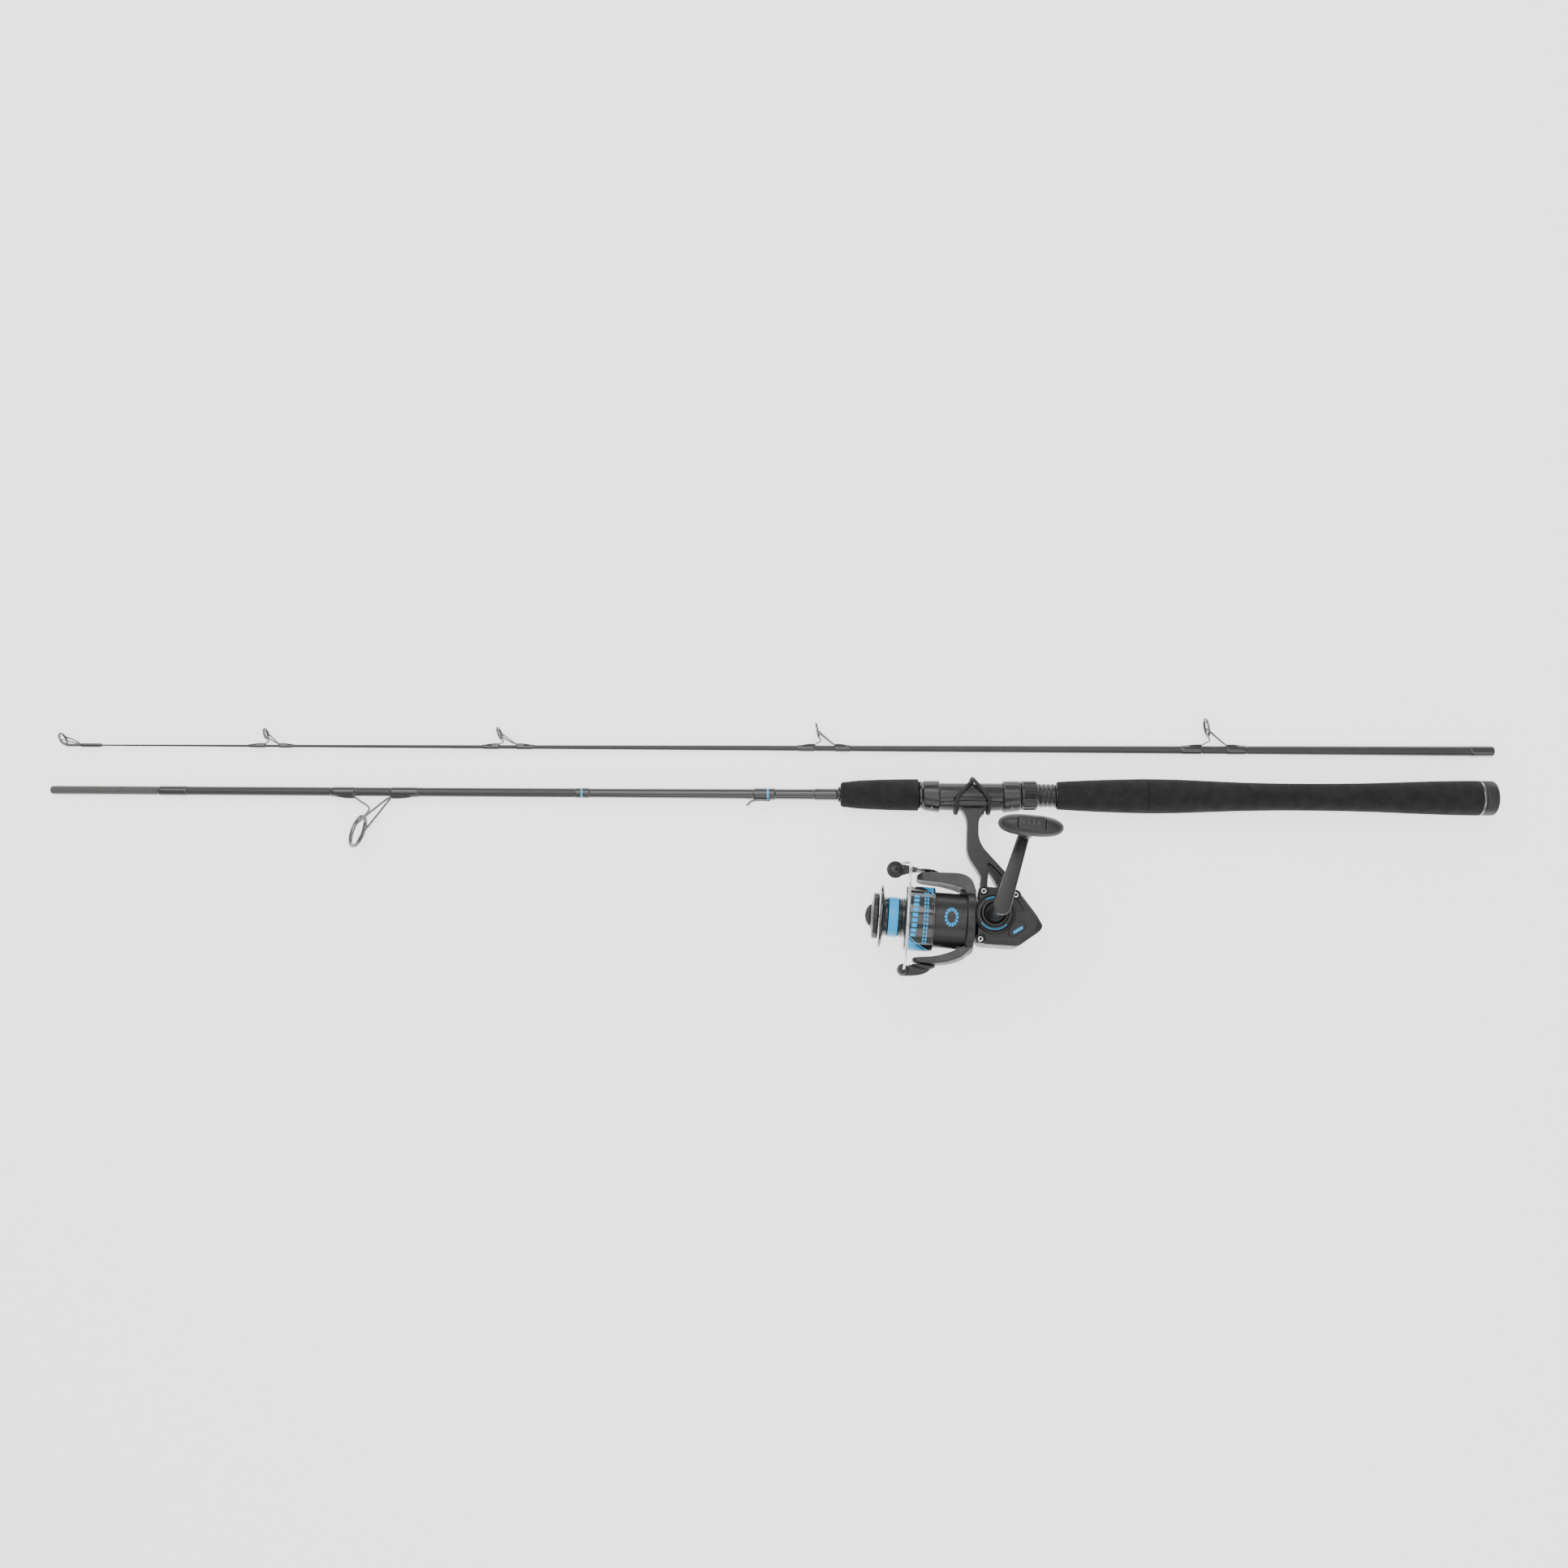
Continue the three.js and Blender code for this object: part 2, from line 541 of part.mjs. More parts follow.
function addHandle() {
  const [cx, cy] = SLIDER_GEAR;
  const axleGear = plate(outline(toothed(22, 8.2, 9.2)), -12, -9.8);
  const collarTop = CRANK_Z[0] - 0.4;
  const collar = turned([[24, 0], [24, 7.4], [30, 6.8], [50, 5.6], [collarTop, 5.6],
    [collarTop, 0]], 'z', 20);
  const axle = join(disc(-28, 26, 3.2, 'z', 16), axleGear, collar).translate(0, HANDLE_Y, 0);
  part('handle_axle', axle, 'dark_chrome', reel);
  const crown = cut(plate(outline(toothed(GEAR_TEETH, 10.2, 11)), 4.3, 8), disc(0, 9, 3.5, 'z', 16));
  part('drive_gear', crown.translate(0, HANDLE_Y, 0), 'brass', reel);
  const wheel = plate(outline(toothed(24, 9.4, 10.4)), -12, -9.8);
  const stub = disc(-16.6, -11, 1.5, 'z', 12);
  part('oscillation_gear', join(wheel, stub).translate(cx, cy, 0), 'plastic', reel);
  part('handle_cap', sleeve(-40.8, -29.9, 0, 8.2, 'z', 24, 1.4).translate(0, HANDLE_Y, 0),
    'graphite', reel);

  const [[lowX, lowY], [highX, highY]] = CRANK_ENDS;
  const crank = new THREE.Shape();
  crank.absarc(0, 0, 6.9, Math.PI, 2 * Math.PI);
  crank.absarc(0, Math.hypot(highX - lowX, highY - lowY), 4.7, 0, Math.PI);
  const arm = plate(crank, ...CRANK_Z).rotateZ(-Math.atan2(highX - lowX, highY - lowY))
    .translate(lowX, lowY, 0);
  const topHole = disc(50, 80, 2.3, 'z', 12).translate(...KNOB_AT, 0);
  part('handle_arm', cut(arm, topHole), 'graphite', reel);
  const spindle = join(disc(CRANK_Z[0] + 0.6, KNOB_Z, 2, 'z', 12),
    disc(CRANK_Z[1] + 0.4, CRANK_Z[1] + 2.6, 3.4, 'z', 14));
  part('knob_spindle', spindle.translate(...KNOB_AT, 0), 'steel', reel);
  addKnob();
}

function addKnob() {
  const half = 26.5;
  const rings = [-1, -0.97, -0.86, -0.6, -0.25, 0.25, 0.6, 0.86, 0.97, 1].map((t) => {
    const swell = Math.max(0.3, (1 - Math.abs(t) ** 3.2) ** 0.5);
    return oval(half * t, 0, 0, 8.5 * swell, 9.4 * swell, 16);
  });
  const neckEnd = CRANK_Z[1] + 2.9 - KNOB_Z;
  const neck = turned([[neckEnd, 0], [neckEnd, 5.6], [-18, 6.2], [-7, 8], [-6, 0]], 'z', 20);
  const bar = cut(join(loft(rings), neck), disc(neckEnd - 5, 1, 2.4, 'z', 14),
    plate(outline([[-11.4, -5.9], [11.4, -5.9], [11.4, 5.9], [-11.4, 5.9]]), 7.4, 20));
  const turn = deg(-1.5);
  part('handle_knob', bar.rotateZ(turn).translate(...KNOB_AT, KNOB_Z), 'rubber', reel);
  const badge = plate(outline([[-11, -4], [-9.5, -5.5], [9.5, -5.5], [11, -4], [11, 4], [9.5, 5.5],
    [-9.5, 5.5], [-11, 4]]), 7.7, 9.2);
  part('knob_badge', badge.rotateZ(turn).translate(...KNOB_AT, KNOB_Z), 'graphite', reel);
}

// ---- reel: rotor and bail ----
// One arm of the rotor: a band of a ring round the spool axis, from an outer and an inner profile,
// trimmed to its plan, with a web down to the cup at its root.
function rotorArm(side, outer, inner, plan) {
  const band = turned([...outer, [ROTOR_BACK, 25.2], [ROTOR_FRONT, 25.2], ...inner, outer[0]], 'x', 24);
  const [low, high] = side > 0 ? [-50, -10] : [10, 50];
  const [foot, top] = side > 0 ? [-28.5, 1 - CUP_R] : [CUP_R - 1, 27];
  const mirrored = [...plan].reverse().map(([x, z]) => [x, -z]);
  const web = [[-28.7, -8], [-19, -8], [-19, 8], [-28.7, 8]];
  return join(common(band, plate(outline([...plan, ...mirrored]), low, high).rotateX(Math.PI / 2)),
    plate(outline(web), foot, top).rotateX(Math.PI / 2));
}

function addRotor() {
  const cup = turned([
    [-53.5, 22.3], [-53.5, CUP_R], [ROTOR_FRONT - 0.3, CUP_R], [ROTOR_FRONT, 26.4],
    [ROTOR_FRONT + 0.6, 27], [ROTOR_BACK - 0.8, 27], [ROTOR_BACK, 26.2], [ROTOR_BACK, 25],
    [ROTOR_DISH, 24.7], [ROTOR_DISH, 14.6], [-24, 14.6], [-26, 22.3], [-33.5, 22.3], [-33.5, 5.6],
    [-28, 5.6], [-28, 3.9], [-44, 3.9], [-44, 6.5], [-38, 7.5], [-36.5, 22.3], [-53.5, 22.3],
  ], 'x', 24);
  const arms = [
    rotorArm(1, [[-66.5, 33.2], [-66.5, 37.1], [-62, 39.9], [-46, 41.1], [-27, 41.1], [-20, 37.5],
      [ROTOR_BACK, 29.1]], [[-24.8, 28.2], [-28.6, 30.3], [-35, 31.6], [-46, 32.7]],
    [[-66.2, 6], [-62, 9.5], [-46, 11], [-26, 13.5], [-13, 16]]),
    rotorArm(-1, [[-66.5, 34.7], [-66.5, 36.6], [-64, 38.1], [-48, 39], [-34, 36.8], [-24.5, 33],
      [-18.6, 28.4], [ROTOR_BACK, 26]], [[-27.5, 26.5], [-34, 29.4], [-48, 33]],
    [[-66.2, 4.5], [-62, 7], [-46, 8.5], [-26, 12], [-13, 16]]),
  ];
  const pivots = join(disc(36.6, 60, 2.1, 'y', 12), disc(37.4, 60, 5, 'y', 16)).translate(BAIL_X, 0, 0);
  const lowPivot = disc(-60, -33.5, 2.1, 'y', 12).translate(BAIL_X, 0, 0);
  part('rotor', cut(join(cup, ...arms), pivots, lowPivot), 'graphite', reel);
  part('rotor_nut', cut(disc(-48, -44.3, 6.2, 'x', 6), disc(-60, 0, 3.9, 'x', 18)), 'steel', reel);

  const teeth = plate(outline(toothed(PINION_TEETH, 2.9, 3.8)), -12.6, -5).rotateY(Math.PI / 2);
  const sleevePart = disc(-48.4, -12.6, 3.6, 'x', 18);
  const pinion = cut(join(teeth, sleevePart), disc(-60, 0, 1.9, 'x', 16));
  part('pinion_gear', pinion, 'brass', reel);

  const coil = [];
  for (let i = 0; i <= 27; i += 1) {
    const a = (2 * Math.PI * i) / 9;
    coil.push([BAIL_X + 3.7 * Math.cos(a), 38.1 + 0.1 * i, 3.7 * Math.sin(a)]);
  }
  part('bail_spring', wire(coil, 0.3, 36, 4), 'steel', reel);
}

function addBail() {
  const pin = disc(37, 43, 1.7, 'y', 12).translate(BAIL_X, 0, 0);
  const cheek = loft([
    oval(-66.6, 42.2, 0, 0.8, 4.6), oval(-64, 42.5, 0, 1.1, 6.2), oval(-58, 42.7, 0, 1.3, 7.4),
    oval(-52, 42.5, 0, 1.1, 6.2), oval(-48, 42.1, 0, 0.7, 3.4),
  ]);
  const reach = new THREE.Shape();
  reach.moveTo(-64, 41.8);
  reach.lineTo(-64, 45.2);
  reach.lineTo(-72, 46.2);
  reach.quadraticCurveTo(-79, 47.4, -86, 46.4);
  reach.absarc(-85, 40.4, 5, Math.PI * 0.55, Math.PI * 1.5, false);
  reach.lineTo(-76, 38.4);
  const blade = plate(reach, -6.4, -2.9);
  const spindle = disc(-4, 7, 1.5, 'z', 12).translate(-85, 40.4, 0);
  part('bail_arm', join(pin, cheek, blade, spindle), 'graphite', reel);

  const roller = turned([[-2.6, 1.8], [-2.6, 4.9], [-1.6, 4.7], [0.3, 3.9], [2.2, 4.7], [3.2, 4.9],
    [3.2, 1.8], [-2.6, 1.8]], 'z', 20).translate(-85, 40.4, 0);
  part('line_roller', roller, 'steel', reel);
  const cap = turned([[3.5, 1.8], [3.5, 6.8], [4.6, 7.3], [6, 7], [8.6, 4.6], [9.2, 0], [7.3, 0],
    [7.3, 1.8], [3.5, 1.8]], 'z', 24).translate(-85, 40.4, 0);
  part('roller_cap', cap, 'graphite', reel);

  const lowPin = disc(-41.6, -34, 1.7, 'y', 12).translate(BAIL_X, 0, 0);
  const lowCheek = loft([
    oval(-66, -40.6, 0, 1.2, 3.6), oval(-62, -41.0, 0, 1.8, 5.0), oval(-56, -41.4, 0, 2.2, 5.6),
    oval(-49, -41.2, 0, 1.9, 4.4), oval(-45.6, -40.4, 0, 0.9, 2),
  ]);
  const lower = new THREE.Shape();
  lower.moveTo(-60, -40);
  lower.lineTo(-68.6, -40);
  lower.absarc(-73.4, -44.8, 5.2, Math.PI * 0.2, Math.PI * 1.5, false);
  lower.lineTo(-62, -48.6);
  lower.quadraticCurveTo(-53, -47, -50, -42.5);
  const lever = plate(lower, -3, 2.2);
  const lug = disc(2, 6, 4.4, 'z', 18).translate(-73.4, -44.8, 0);
  part('bail_lever', join(lowPin, lowCheek, lever, lug), 'graphite', reel);

  const hoop = [[-79.6, 46.0, 8.1], [-76, 46.6, 8.6], [-72.8, 46.2, 11.5]];
  const apex = 54;
  for (let a = 24; a <= 156; a += 12) {
    const t = deg(a);
    hoop.push([-72.2 - 1.9 * Math.sin(t), 46.4 * Math.cos(t), apex * Math.sin(t)]);
  }
  hoop.push([-73.3, -45.2, 14], [-73.4, -44.8, 10], [-73.4, -44.8, 6.4]);
  part('bail_wire', wire(hoop, 1.1, 40, 6), 'steel', reel);
}

// ---- reel: spool and shaft ----
function addSpool() {
  const spool = turned([
    [-86, 1.9], [-86, 13], [-95.6, 13], [-95.6, 22], [-96.6, 25.4], [-96, SPOOL_LIP_R - 0.3],
    [-94.6, SPOOL_LIP_R], [-93.4, 25.6], [-92.8, 16.4], [-89.2, 16.4], [-89.2, 15.8], [-80, 15.8],
    [-80, 16.4], [-75.2, 16.4], [-74.6, 26.4], [-73.6, SKIRT_R], [SKIRT_END, SKIRT_R], [SKIRT_END, 26.3],
    [-71.6, 26.3], [-72.4, 14.2], [-82, 13.4], [-82, 6], [-66, 6], [-66, 1.9], [-86, 1.9],
  ], 'x', 24);
  part('spool', spool, 'spool', reel);
  part('line_band', ring(-88.8, -80.4, 16.1, 17.0, 'x', 28), 'blue', reel);
  const stack = [[-95.1, 2.2]];
  for (let i = 0; i < 3; i += 1) {
    const x = -95.1 + 2.9 * i;
    stack.push([x, 12.6], [x + 2, 12.6], [x + 2, 10.6], [x + 2.9, 10.6]);
  }
  stack.push([-86.4, 2.2], [-95.1, 2.2]);
  part('drag_washers', turned(stack, 'x', 16), 'steel', reel);

  const dial = turned([[-97, 1.9], [-97, 18.8], [-97.8, 19.6], [-101.2, 19.6], [-102, 18.9],
    [-102.6, 13], [-103.4, 10.4], [-104.6, 0], [-104.4, 0], [-104.4, 1.9], [-97, 1.9]], 'x', 24);
  const bar = new THREE.Shape();
  bar.moveTo(-101.5, 9.2);
  bar.lineTo(-104.5, 9);
  bar.quadraticCurveTo(-112.4, 0, -104.5, -9);
  bar.lineTo(-101.5, -9.2);
  const socket = disc(-104.3, -90, 1.9, 'x', 16);
  part('drag_knob', cut(join(dial, plate(bar, -3.6, 3.6)), socket), 'graphite', reel);

  part('main_shaft', disc(-104, 13, 1.6, 'x', 16), 'steel', reel);
  const block = cut(new THREE.BoxGeometry(6, 11, 11.6).translate(12, 0, -2.8),
    disc(0, 13.3, 1.9, 'x', 16));
  part('crosshead', block, 'brass', reel);
}

addButtBlank();
addGrips();
addSeat();
addTie();
addHookKeeper();
addButtGuide();
addReelBody();
addSideCover();
addScrews();
addBearings();
addHandle();
addRotor();
addBail();
addSpool();
addTipBlank();
addTipGuides();
addTipTop();

// Stand the whole laid-out rod on the table, centred over the origin.
rod.updateMatrixWorld(true);
const bounds = new THREE.Box3().setFromObject(rod, true);
const centre = bounds.getCenter(new THREE.Vector3());
rod.position.set(-centre.x, -centre.y, -bounds.min.z);

export default rod;
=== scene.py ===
import json
import math

import bmesh
import bpy
import numpy as np
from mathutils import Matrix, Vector


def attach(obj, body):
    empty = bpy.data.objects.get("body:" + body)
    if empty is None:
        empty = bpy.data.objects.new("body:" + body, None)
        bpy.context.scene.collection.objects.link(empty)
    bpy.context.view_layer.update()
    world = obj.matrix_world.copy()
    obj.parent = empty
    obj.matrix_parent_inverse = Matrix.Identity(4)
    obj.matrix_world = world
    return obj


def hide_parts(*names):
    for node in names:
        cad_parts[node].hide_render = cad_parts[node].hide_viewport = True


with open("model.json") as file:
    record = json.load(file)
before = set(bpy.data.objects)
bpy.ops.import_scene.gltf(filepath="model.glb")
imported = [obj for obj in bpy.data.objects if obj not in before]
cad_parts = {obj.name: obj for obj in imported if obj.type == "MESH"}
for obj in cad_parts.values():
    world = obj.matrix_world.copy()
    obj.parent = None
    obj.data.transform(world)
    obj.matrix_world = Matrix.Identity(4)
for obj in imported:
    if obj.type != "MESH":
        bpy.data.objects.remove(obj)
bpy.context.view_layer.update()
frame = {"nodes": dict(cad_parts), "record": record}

MM = 0.001
FULL_TURN = 2 * math.pi


# ---------------------------------------------------------------- frames
# Every part is drawn in millimetres in one of three frames: the butt section's (X along the rod
# from the reel stem, Z to the crank side), the reel's (X along the spool axis) and the tip's.

def unit(v):
    v = np.array(v, float)
    return v / np.linalg.norm(v)


def basis(x_axis, z_axis, origin):
    """A 3x4 matrix from millimetres in a frame to metres in the world."""
    x, z = unit(x_axis), unit(z_axis)
    y = unit(np.cross(z, x))
    return np.column_stack([x * MM, y * MM, z * MM, origin])


JOINTS = {j["name"]: j for j in frame["record"]["behaviour"]["joints"]}
MOUNTS = {m["name"]: m for m in frame["record"]["mounts"]}
HANDLE_AXIS = JOINTS["handle_crank"]["axis"]
NUT_PIVOT, ROTOR_PIVOT = 50, -40   # stations of those joints' points in their frames


def joint_frame(slide, pivot, station):
    """Frame along one joint's axis, where another joint's point has the given station."""
    axis = JOINTS[slide]["axis"]
    return basis(axis, HANDLE_AXIS, np.array(JOINTS[pivot]["pos_m"]) - station * MM * unit(axis))


BUTT = joint_frame("hood_slide", "nut_turn", NUT_PIVOT)
REEL = joint_frame("rotor_spin", "rotor_spin", ROTOR_PIVOT)
TIP_ROLL = math.radians(11.5)
SOCKET = MOUNTS["tip_socket_end"]
TIP_UP = (0, -math.sin(TIP_ROLL), math.cos(TIP_ROLL))
TIP = basis(SOCKET["axis"], TIP_UP, (0, 0, 0))
TIP_END = 459.2
SOCKET_RIM = 4.1                   # how far off the axis the mount's point sits on the tube's end
TIP[:, 3] = np.array(SOCKET["pos_m"]) - TIP[:, :3] @ (TIP_END, 0, SOCKET_RIM)


# ---------------------------------------------------------------- shells
# A shell is (points, faces): points in millimetres, faces as lists of point numbers.

def around(sides):
    """Angles of that many sides round a full turn."""
    return np.linspace(0, FULL_TURN, sides, endpoint=False)


def shell_of_rings(rings, closed=False):
    """Skin through rings of points; a ring of one point is a pole, open ends get a flat face."""
    points, starts = [], []
    for ring in rings:
        starts.append(len(points))
        points.extend(ring)
    faces = []
    spans = len(rings) if closed else len(rings) - 1
    for j in range(spans):
        k = (j + 1) % len(rings)
        a, b, na, nb = starts[j], starts[k], len(rings[j]), len(rings[k])
        n = max(na, nb)
        for i in range(n):
            m = (i + 1) % n
            if na == 1 and nb > 1:
                faces.append((a, b + m, b + i))
            elif nb == 1 and na > 1:
                faces.append((a + i, a + m, b))
            elif na > 1:
                faces.append((a + i, a + m, b + m, b + i))
    if not closed:
        if len(rings[0]) > 2:
            faces.append(tuple(reversed(range(len(rings[0])))))
        if len(rings[-1]) > 2:
            faces.append(tuple(range(starts[-1], starts[-1] + len(rings[-1]))))
    return np.array(points, float), faces


def joined(*shells):
    points, faces = [], []
    for p, f in shells:
        base = sum(len(q) for q in points)
        points.append(p)
        faces.extend([tuple(base + i for i in face) for face in f])
    return np.vstack(points), faces


def moved(shell, x=0.0, y=0.0, z=0.0, turn_z=0.0):
    c, s = math.cos(turn_z), math.sin(turn_z)
    p = shell[0] @ np.array([[c, s, 0], [-s, c, 0], [0, 0, 1]]) + (x, y, z)
    return p, shell[1]


def fillet(points, radius=0.5, steps=3, closed=False, every=False):
    """A polyline with each corner rounded; nearly straight ones only with every."""
    pts = [np.array(p, float) for p in points]
    if closed and np.allclose(pts[0], pts[-1]):
        pts = pts[:-1]
    out = []
    n = len(pts)
    for i, p in enumerate(pts):
        if not closed and i in (0, n - 1):
            out.append(p)
            continue
        before, after = pts[i - 1] - p, pts[(i + 1) % n] - p
        la, lb = np.linalg.norm(before), np.linalg.norm(after)
        bend = before @ after / (la * lb)
        reach = min(radius, 0.45 * la, 0.45 * lb)
        if not every and (bend < -0.985 or reach < 1e-3):
            out.append(p)
            continue
        a, b = p + before / la * reach, p + after / lb * reach
        for t in np.linspace(0, 1, steps + 1):
            out.append((1 - t) ** 2 * a + 2 * t * (1 - t) * p + t * t * b)
    if closed:
        out.append(out[0])
    return out


def revolve(profile, axis="x", sides=72, centre=(0, 0, 0), radius=0.35, shape=None):
    """Solid of revolution from (station, radius) points with rounded corners.

    shape(station, angle) may scale the radius, for ribs and threads."""
    closed = np.allclose(profile[0], profile[-1])
    line = fillet(profile, radius, closed=closed) if radius else [np.array(p, float) for p in profile]
    if closed:
        line = line[:-1]
    angles = around(sides)
    rings = []
    for s, r in line:
        if r < 1e-6:
            ring = [(s, 0.0, 0.0)]
        else:
            grown = [r * (shape(s, a) if shape else 1.0) for a in angles]
            ring = [(s, g * math.cos(a), g * math.sin(a)) for g, a in zip(grown, angles)]
        rings.append(ring)
    points, faces = shell_of_rings(rings, closed)
    if axis == "y":
        points = points[:, [2, 0, 1]]
    if axis == "z":
        points = points[:, [1, 2, 0]]
    return points + np.array(centre, float), faces


def knurled(teeth, depth, low, high, power=1):
    """A shape for revolve with grooves round it between two stations."""
    def shape(station, angle):
        if not low < station < high:
            return 1.0
        return 1 - depth * (0.5 + 0.5 * math.cos(teeth * angle)) ** power
    return shape


def disc(a, b, r, axis="x", sides=48, centre=(0, 0, 0)):
    return revolve([(a, 0), (a, r), (b, r), (b, 0)], axis, sides, centre, radius=0)


def slab(outline, low, high, axis="z"):
    """Flat plate of an (x, y) outline between two heights along z, or (x, z) along y."""
    n = len(outline)
    points = [(x, y, low) for x, y in outline] + [(x, y, high) for x, y in outline]
    faces = [tuple(reversed(range(n))), tuple(range(n, 2 * n))]
    faces += [(i, (i + 1) % n, n + (i + 1) % n, n + i) for i in range(n)]
    points = np.array(points, float)
    if axis == "y":
        points = points[:, [0, 2, 1]]
        faces = [tuple(reversed(f)) for f in faces]
    return points, faces


def smooth_path(points, per=8, closed=False):
    """Centripetal Catmull-Rom curve through points."""
    p = [np.array(q, float) for q in points]
    if closed:
        p = [p[-1], *p, p[0], p[1]]
    else:
        p = [2 * p[0] - p[1], *p, 2 * p[-1] - p[-2]]
    out = []
    for a, b, c, d in zip(p, p[1:], p[2:], p[3:]):
        t0 = 0.0
        t1 = t0 + np.linalg.norm(b - a) ** 0.5
        t2 = t1 + np.linalg.norm(c - b) ** 0.5
        t3 = t2 + np.linalg.norm(d - c) ** 0.5
        for t in np.linspace(t1, t2, per, endpoint=False):
            ab = (t1 - t) / (t1 - t0) * a + (t - t0) / (t1 - t0) * b
            bc = (t2 - t) / (t2 - t1) * b + (t - t1) / (t2 - t1) * c
            cd = (t3 - t) / (t3 - t2) * c + (t - t2) / (t3 - t2) * d
            abc = (t2 - t) / (t2 - t0) * ab + (t - t0) / (t2 - t0) * bc
            bcd = (t3 - t) / (t3 - t1) * bc + (t - t1) / (t3 - t1) * cd
            out.append((t2 - t) / (t2 - t1) * abc + (t - t1) / (t2 - t1) * bcd)
    if not closed:
        out.append(p[-2])
    return out


def sweep(points, radius, sides=16, closed=False, flat=1.0, outward=None):
    """Round bar along points. radius is a number or one per point. With outward, a point on the
    axis that the bar winds round, flat squeezes it against that axis."""
    p = np.array(points, float)
    n = len(p)
    radii = np.broadcast_to(radius, n)
    ahead = np.roll(p, -1, 0) - p
    behind = p - np.roll(p, 1, 0)
    tangent = ahead + behind
    if not closed:
        tangent[0], tangent[-1] = ahead[0], behind[-1]
    tangent /= np.linalg.norm(tangent, axis=1)[:, None]
    side = np.cross(tangent[0], (0.0, 0.0, 1.0))
    if np.linalg.norm(side) < 0.1:
        side = np.cross(tangent[0], (0.0, 1.0, 0.0))
    rings = []
    for i in range(n):
        if outward is not None:
            side = outward(p[i])
        side = side - tangent[i] * (side @ tangent[i])
        side /= np.linalg.norm(side)
        up = np.cross(tangent[i], side)
        rings.append([p[i] + radii[i] * (flat * math.cos(a) * side + math.sin(a) * up)
                      for a in around(sides)])
    return shell_of_rings(rings, closed)


def capped(points, r, sides=16, dome=0.6):
    """Sweep with softly rounded ends."""
    p = [np.array(q, float) for q in points]
    first, last = unit(p[0] - p[1]), unit(p[-1] - p[-2])
    turns = [(1 - math.cos(a), math.sin(a)) for a in np.linspace(0.15, math.pi / 2, 4)]
    head = [(p[0] + first * r * dome * (1 - back), max(0.08, out)) for back, out in turns]
    tail = [(p[-1] + last * r * dome * (1 - back), max(0.08, out)) for back, out in turns]
    line = [q for q, _ in head] + p + [q for q, _ in reversed(tail)]
    radii = [r * k for _, k in head] + [r] * len(p) + [r * k for _, k in reversed(tail)]
    return sweep(line, radii, sides)


def torus(centre, major, minor, lean=0.0, sides=64, section=18, flat=1.0):
    """Ring standing square to X, leant about Z."""
    rings = []
    for a in around(sides):
        ring = []
        for b in around(section):
            r = major + minor * math.cos(b)
            ring.append((minor * flat * math.sin(b), r * math.cos(a), r * math.sin(a)))
        rings.append(ring)
    points, faces = shell_of_rings(rings, closed=True)
    return moved(moved((points, faces), turn_z=lean), *centre)


# ---------------------------------------------------------------- pieces

def placed(name, data):
    """A new object of the scene."""
    obj = bpy.data.objects.new(name, data)
    bpy.context.scene.collection.objects.link(obj)
    return obj


def mesh_of(name, points, faces):
    mesh = bpy.data.meshes.new(name)
    mesh.from_pydata([tuple(p) for p in points], [], [tuple(f) for f in faces])
    recalculate(mesh)
    return mesh


def raw_object(name, shell):
    return placed(name, mesh_of(name, *shell))


def recalculate(mesh):
    bm = bmesh.new()
    bm.from_mesh(mesh)
    bmesh.ops.recalc_face_normals(bm, faces=bm.faces)
    bm.to_mesh(mesh)
    bm.free()


def apply_modifiers(obj):
    graph = bpy.context.evaluated_depsgraph_get()
    mesh = bpy.data.meshes.new_from_object(obj.evaluated_get(graph))
    old = obj.data
    obj.modifiers.clear()
    obj.data = mesh
    bpy.data.meshes.remove(old)


def modify(obj, kind, **settings):
    mod = obj.modifiers.new(kind.lower(), kind)
    for key, value in settings.items():
        setattr(mod, key, value)


def bevelled(shell, width, segments=2, angle=40):
    obj = raw_object("bevel_work", shell)
    modify(obj, "BEVEL", width=width, segments=segments, limit_method="ANGLE",
           angle_limit=math.radians(angle))
    apply_modifiers(obj)
    return taken(obj)


def taken(obj):
    """The shell of a work object, which is deleted."""
    points = np.empty(len(obj.data.vertices) * 3)
    obj.data.vertices.foreach_get("co", points)
    faces = [tuple(p.vertices) for p in obj.data.polygons]
    mesh = obj.data
    bpy.data.objects.remove(obj)
    bpy.data.meshes.remove(mesh)
    return points.reshape(-1, 3), faces


def boolean(a, b, operation):
    one, two = raw_object("work_a", a), raw_object("work_b", b)
    modify(one, "BOOLEAN", object=two, operation=operation, solver="MANIFOLD")
    apply_modifiers(one)
    taken(two)
    return taken(one)


def cut(a, *tools):
    for tool in tools:
        a = boolean(a, tool, "DIFFERENCE")
    return a


def united(first, *others):
    for other in others:
        first = boolean(first, other, "UNION")
    return first


def common(a, b):
    return boolean(a, b, "INTERSECT")


def moulded(shell, voxel=0.45, rounds=6, keep=0.4):
    """One skin over a shell, with every edge softened as a mould or casting leaves it."""
    obj = raw_object("mould_work", shell)
    modify(obj, "REMESH", mode="VOXEL", voxel_size=voxel)
    modify(obj, "SMOOTH", factor=0.5, iterations=rounds)
    modify(obj, "DECIMATE", ratio=keep)
    apply_modifiers(obj)
    return taken(obj)


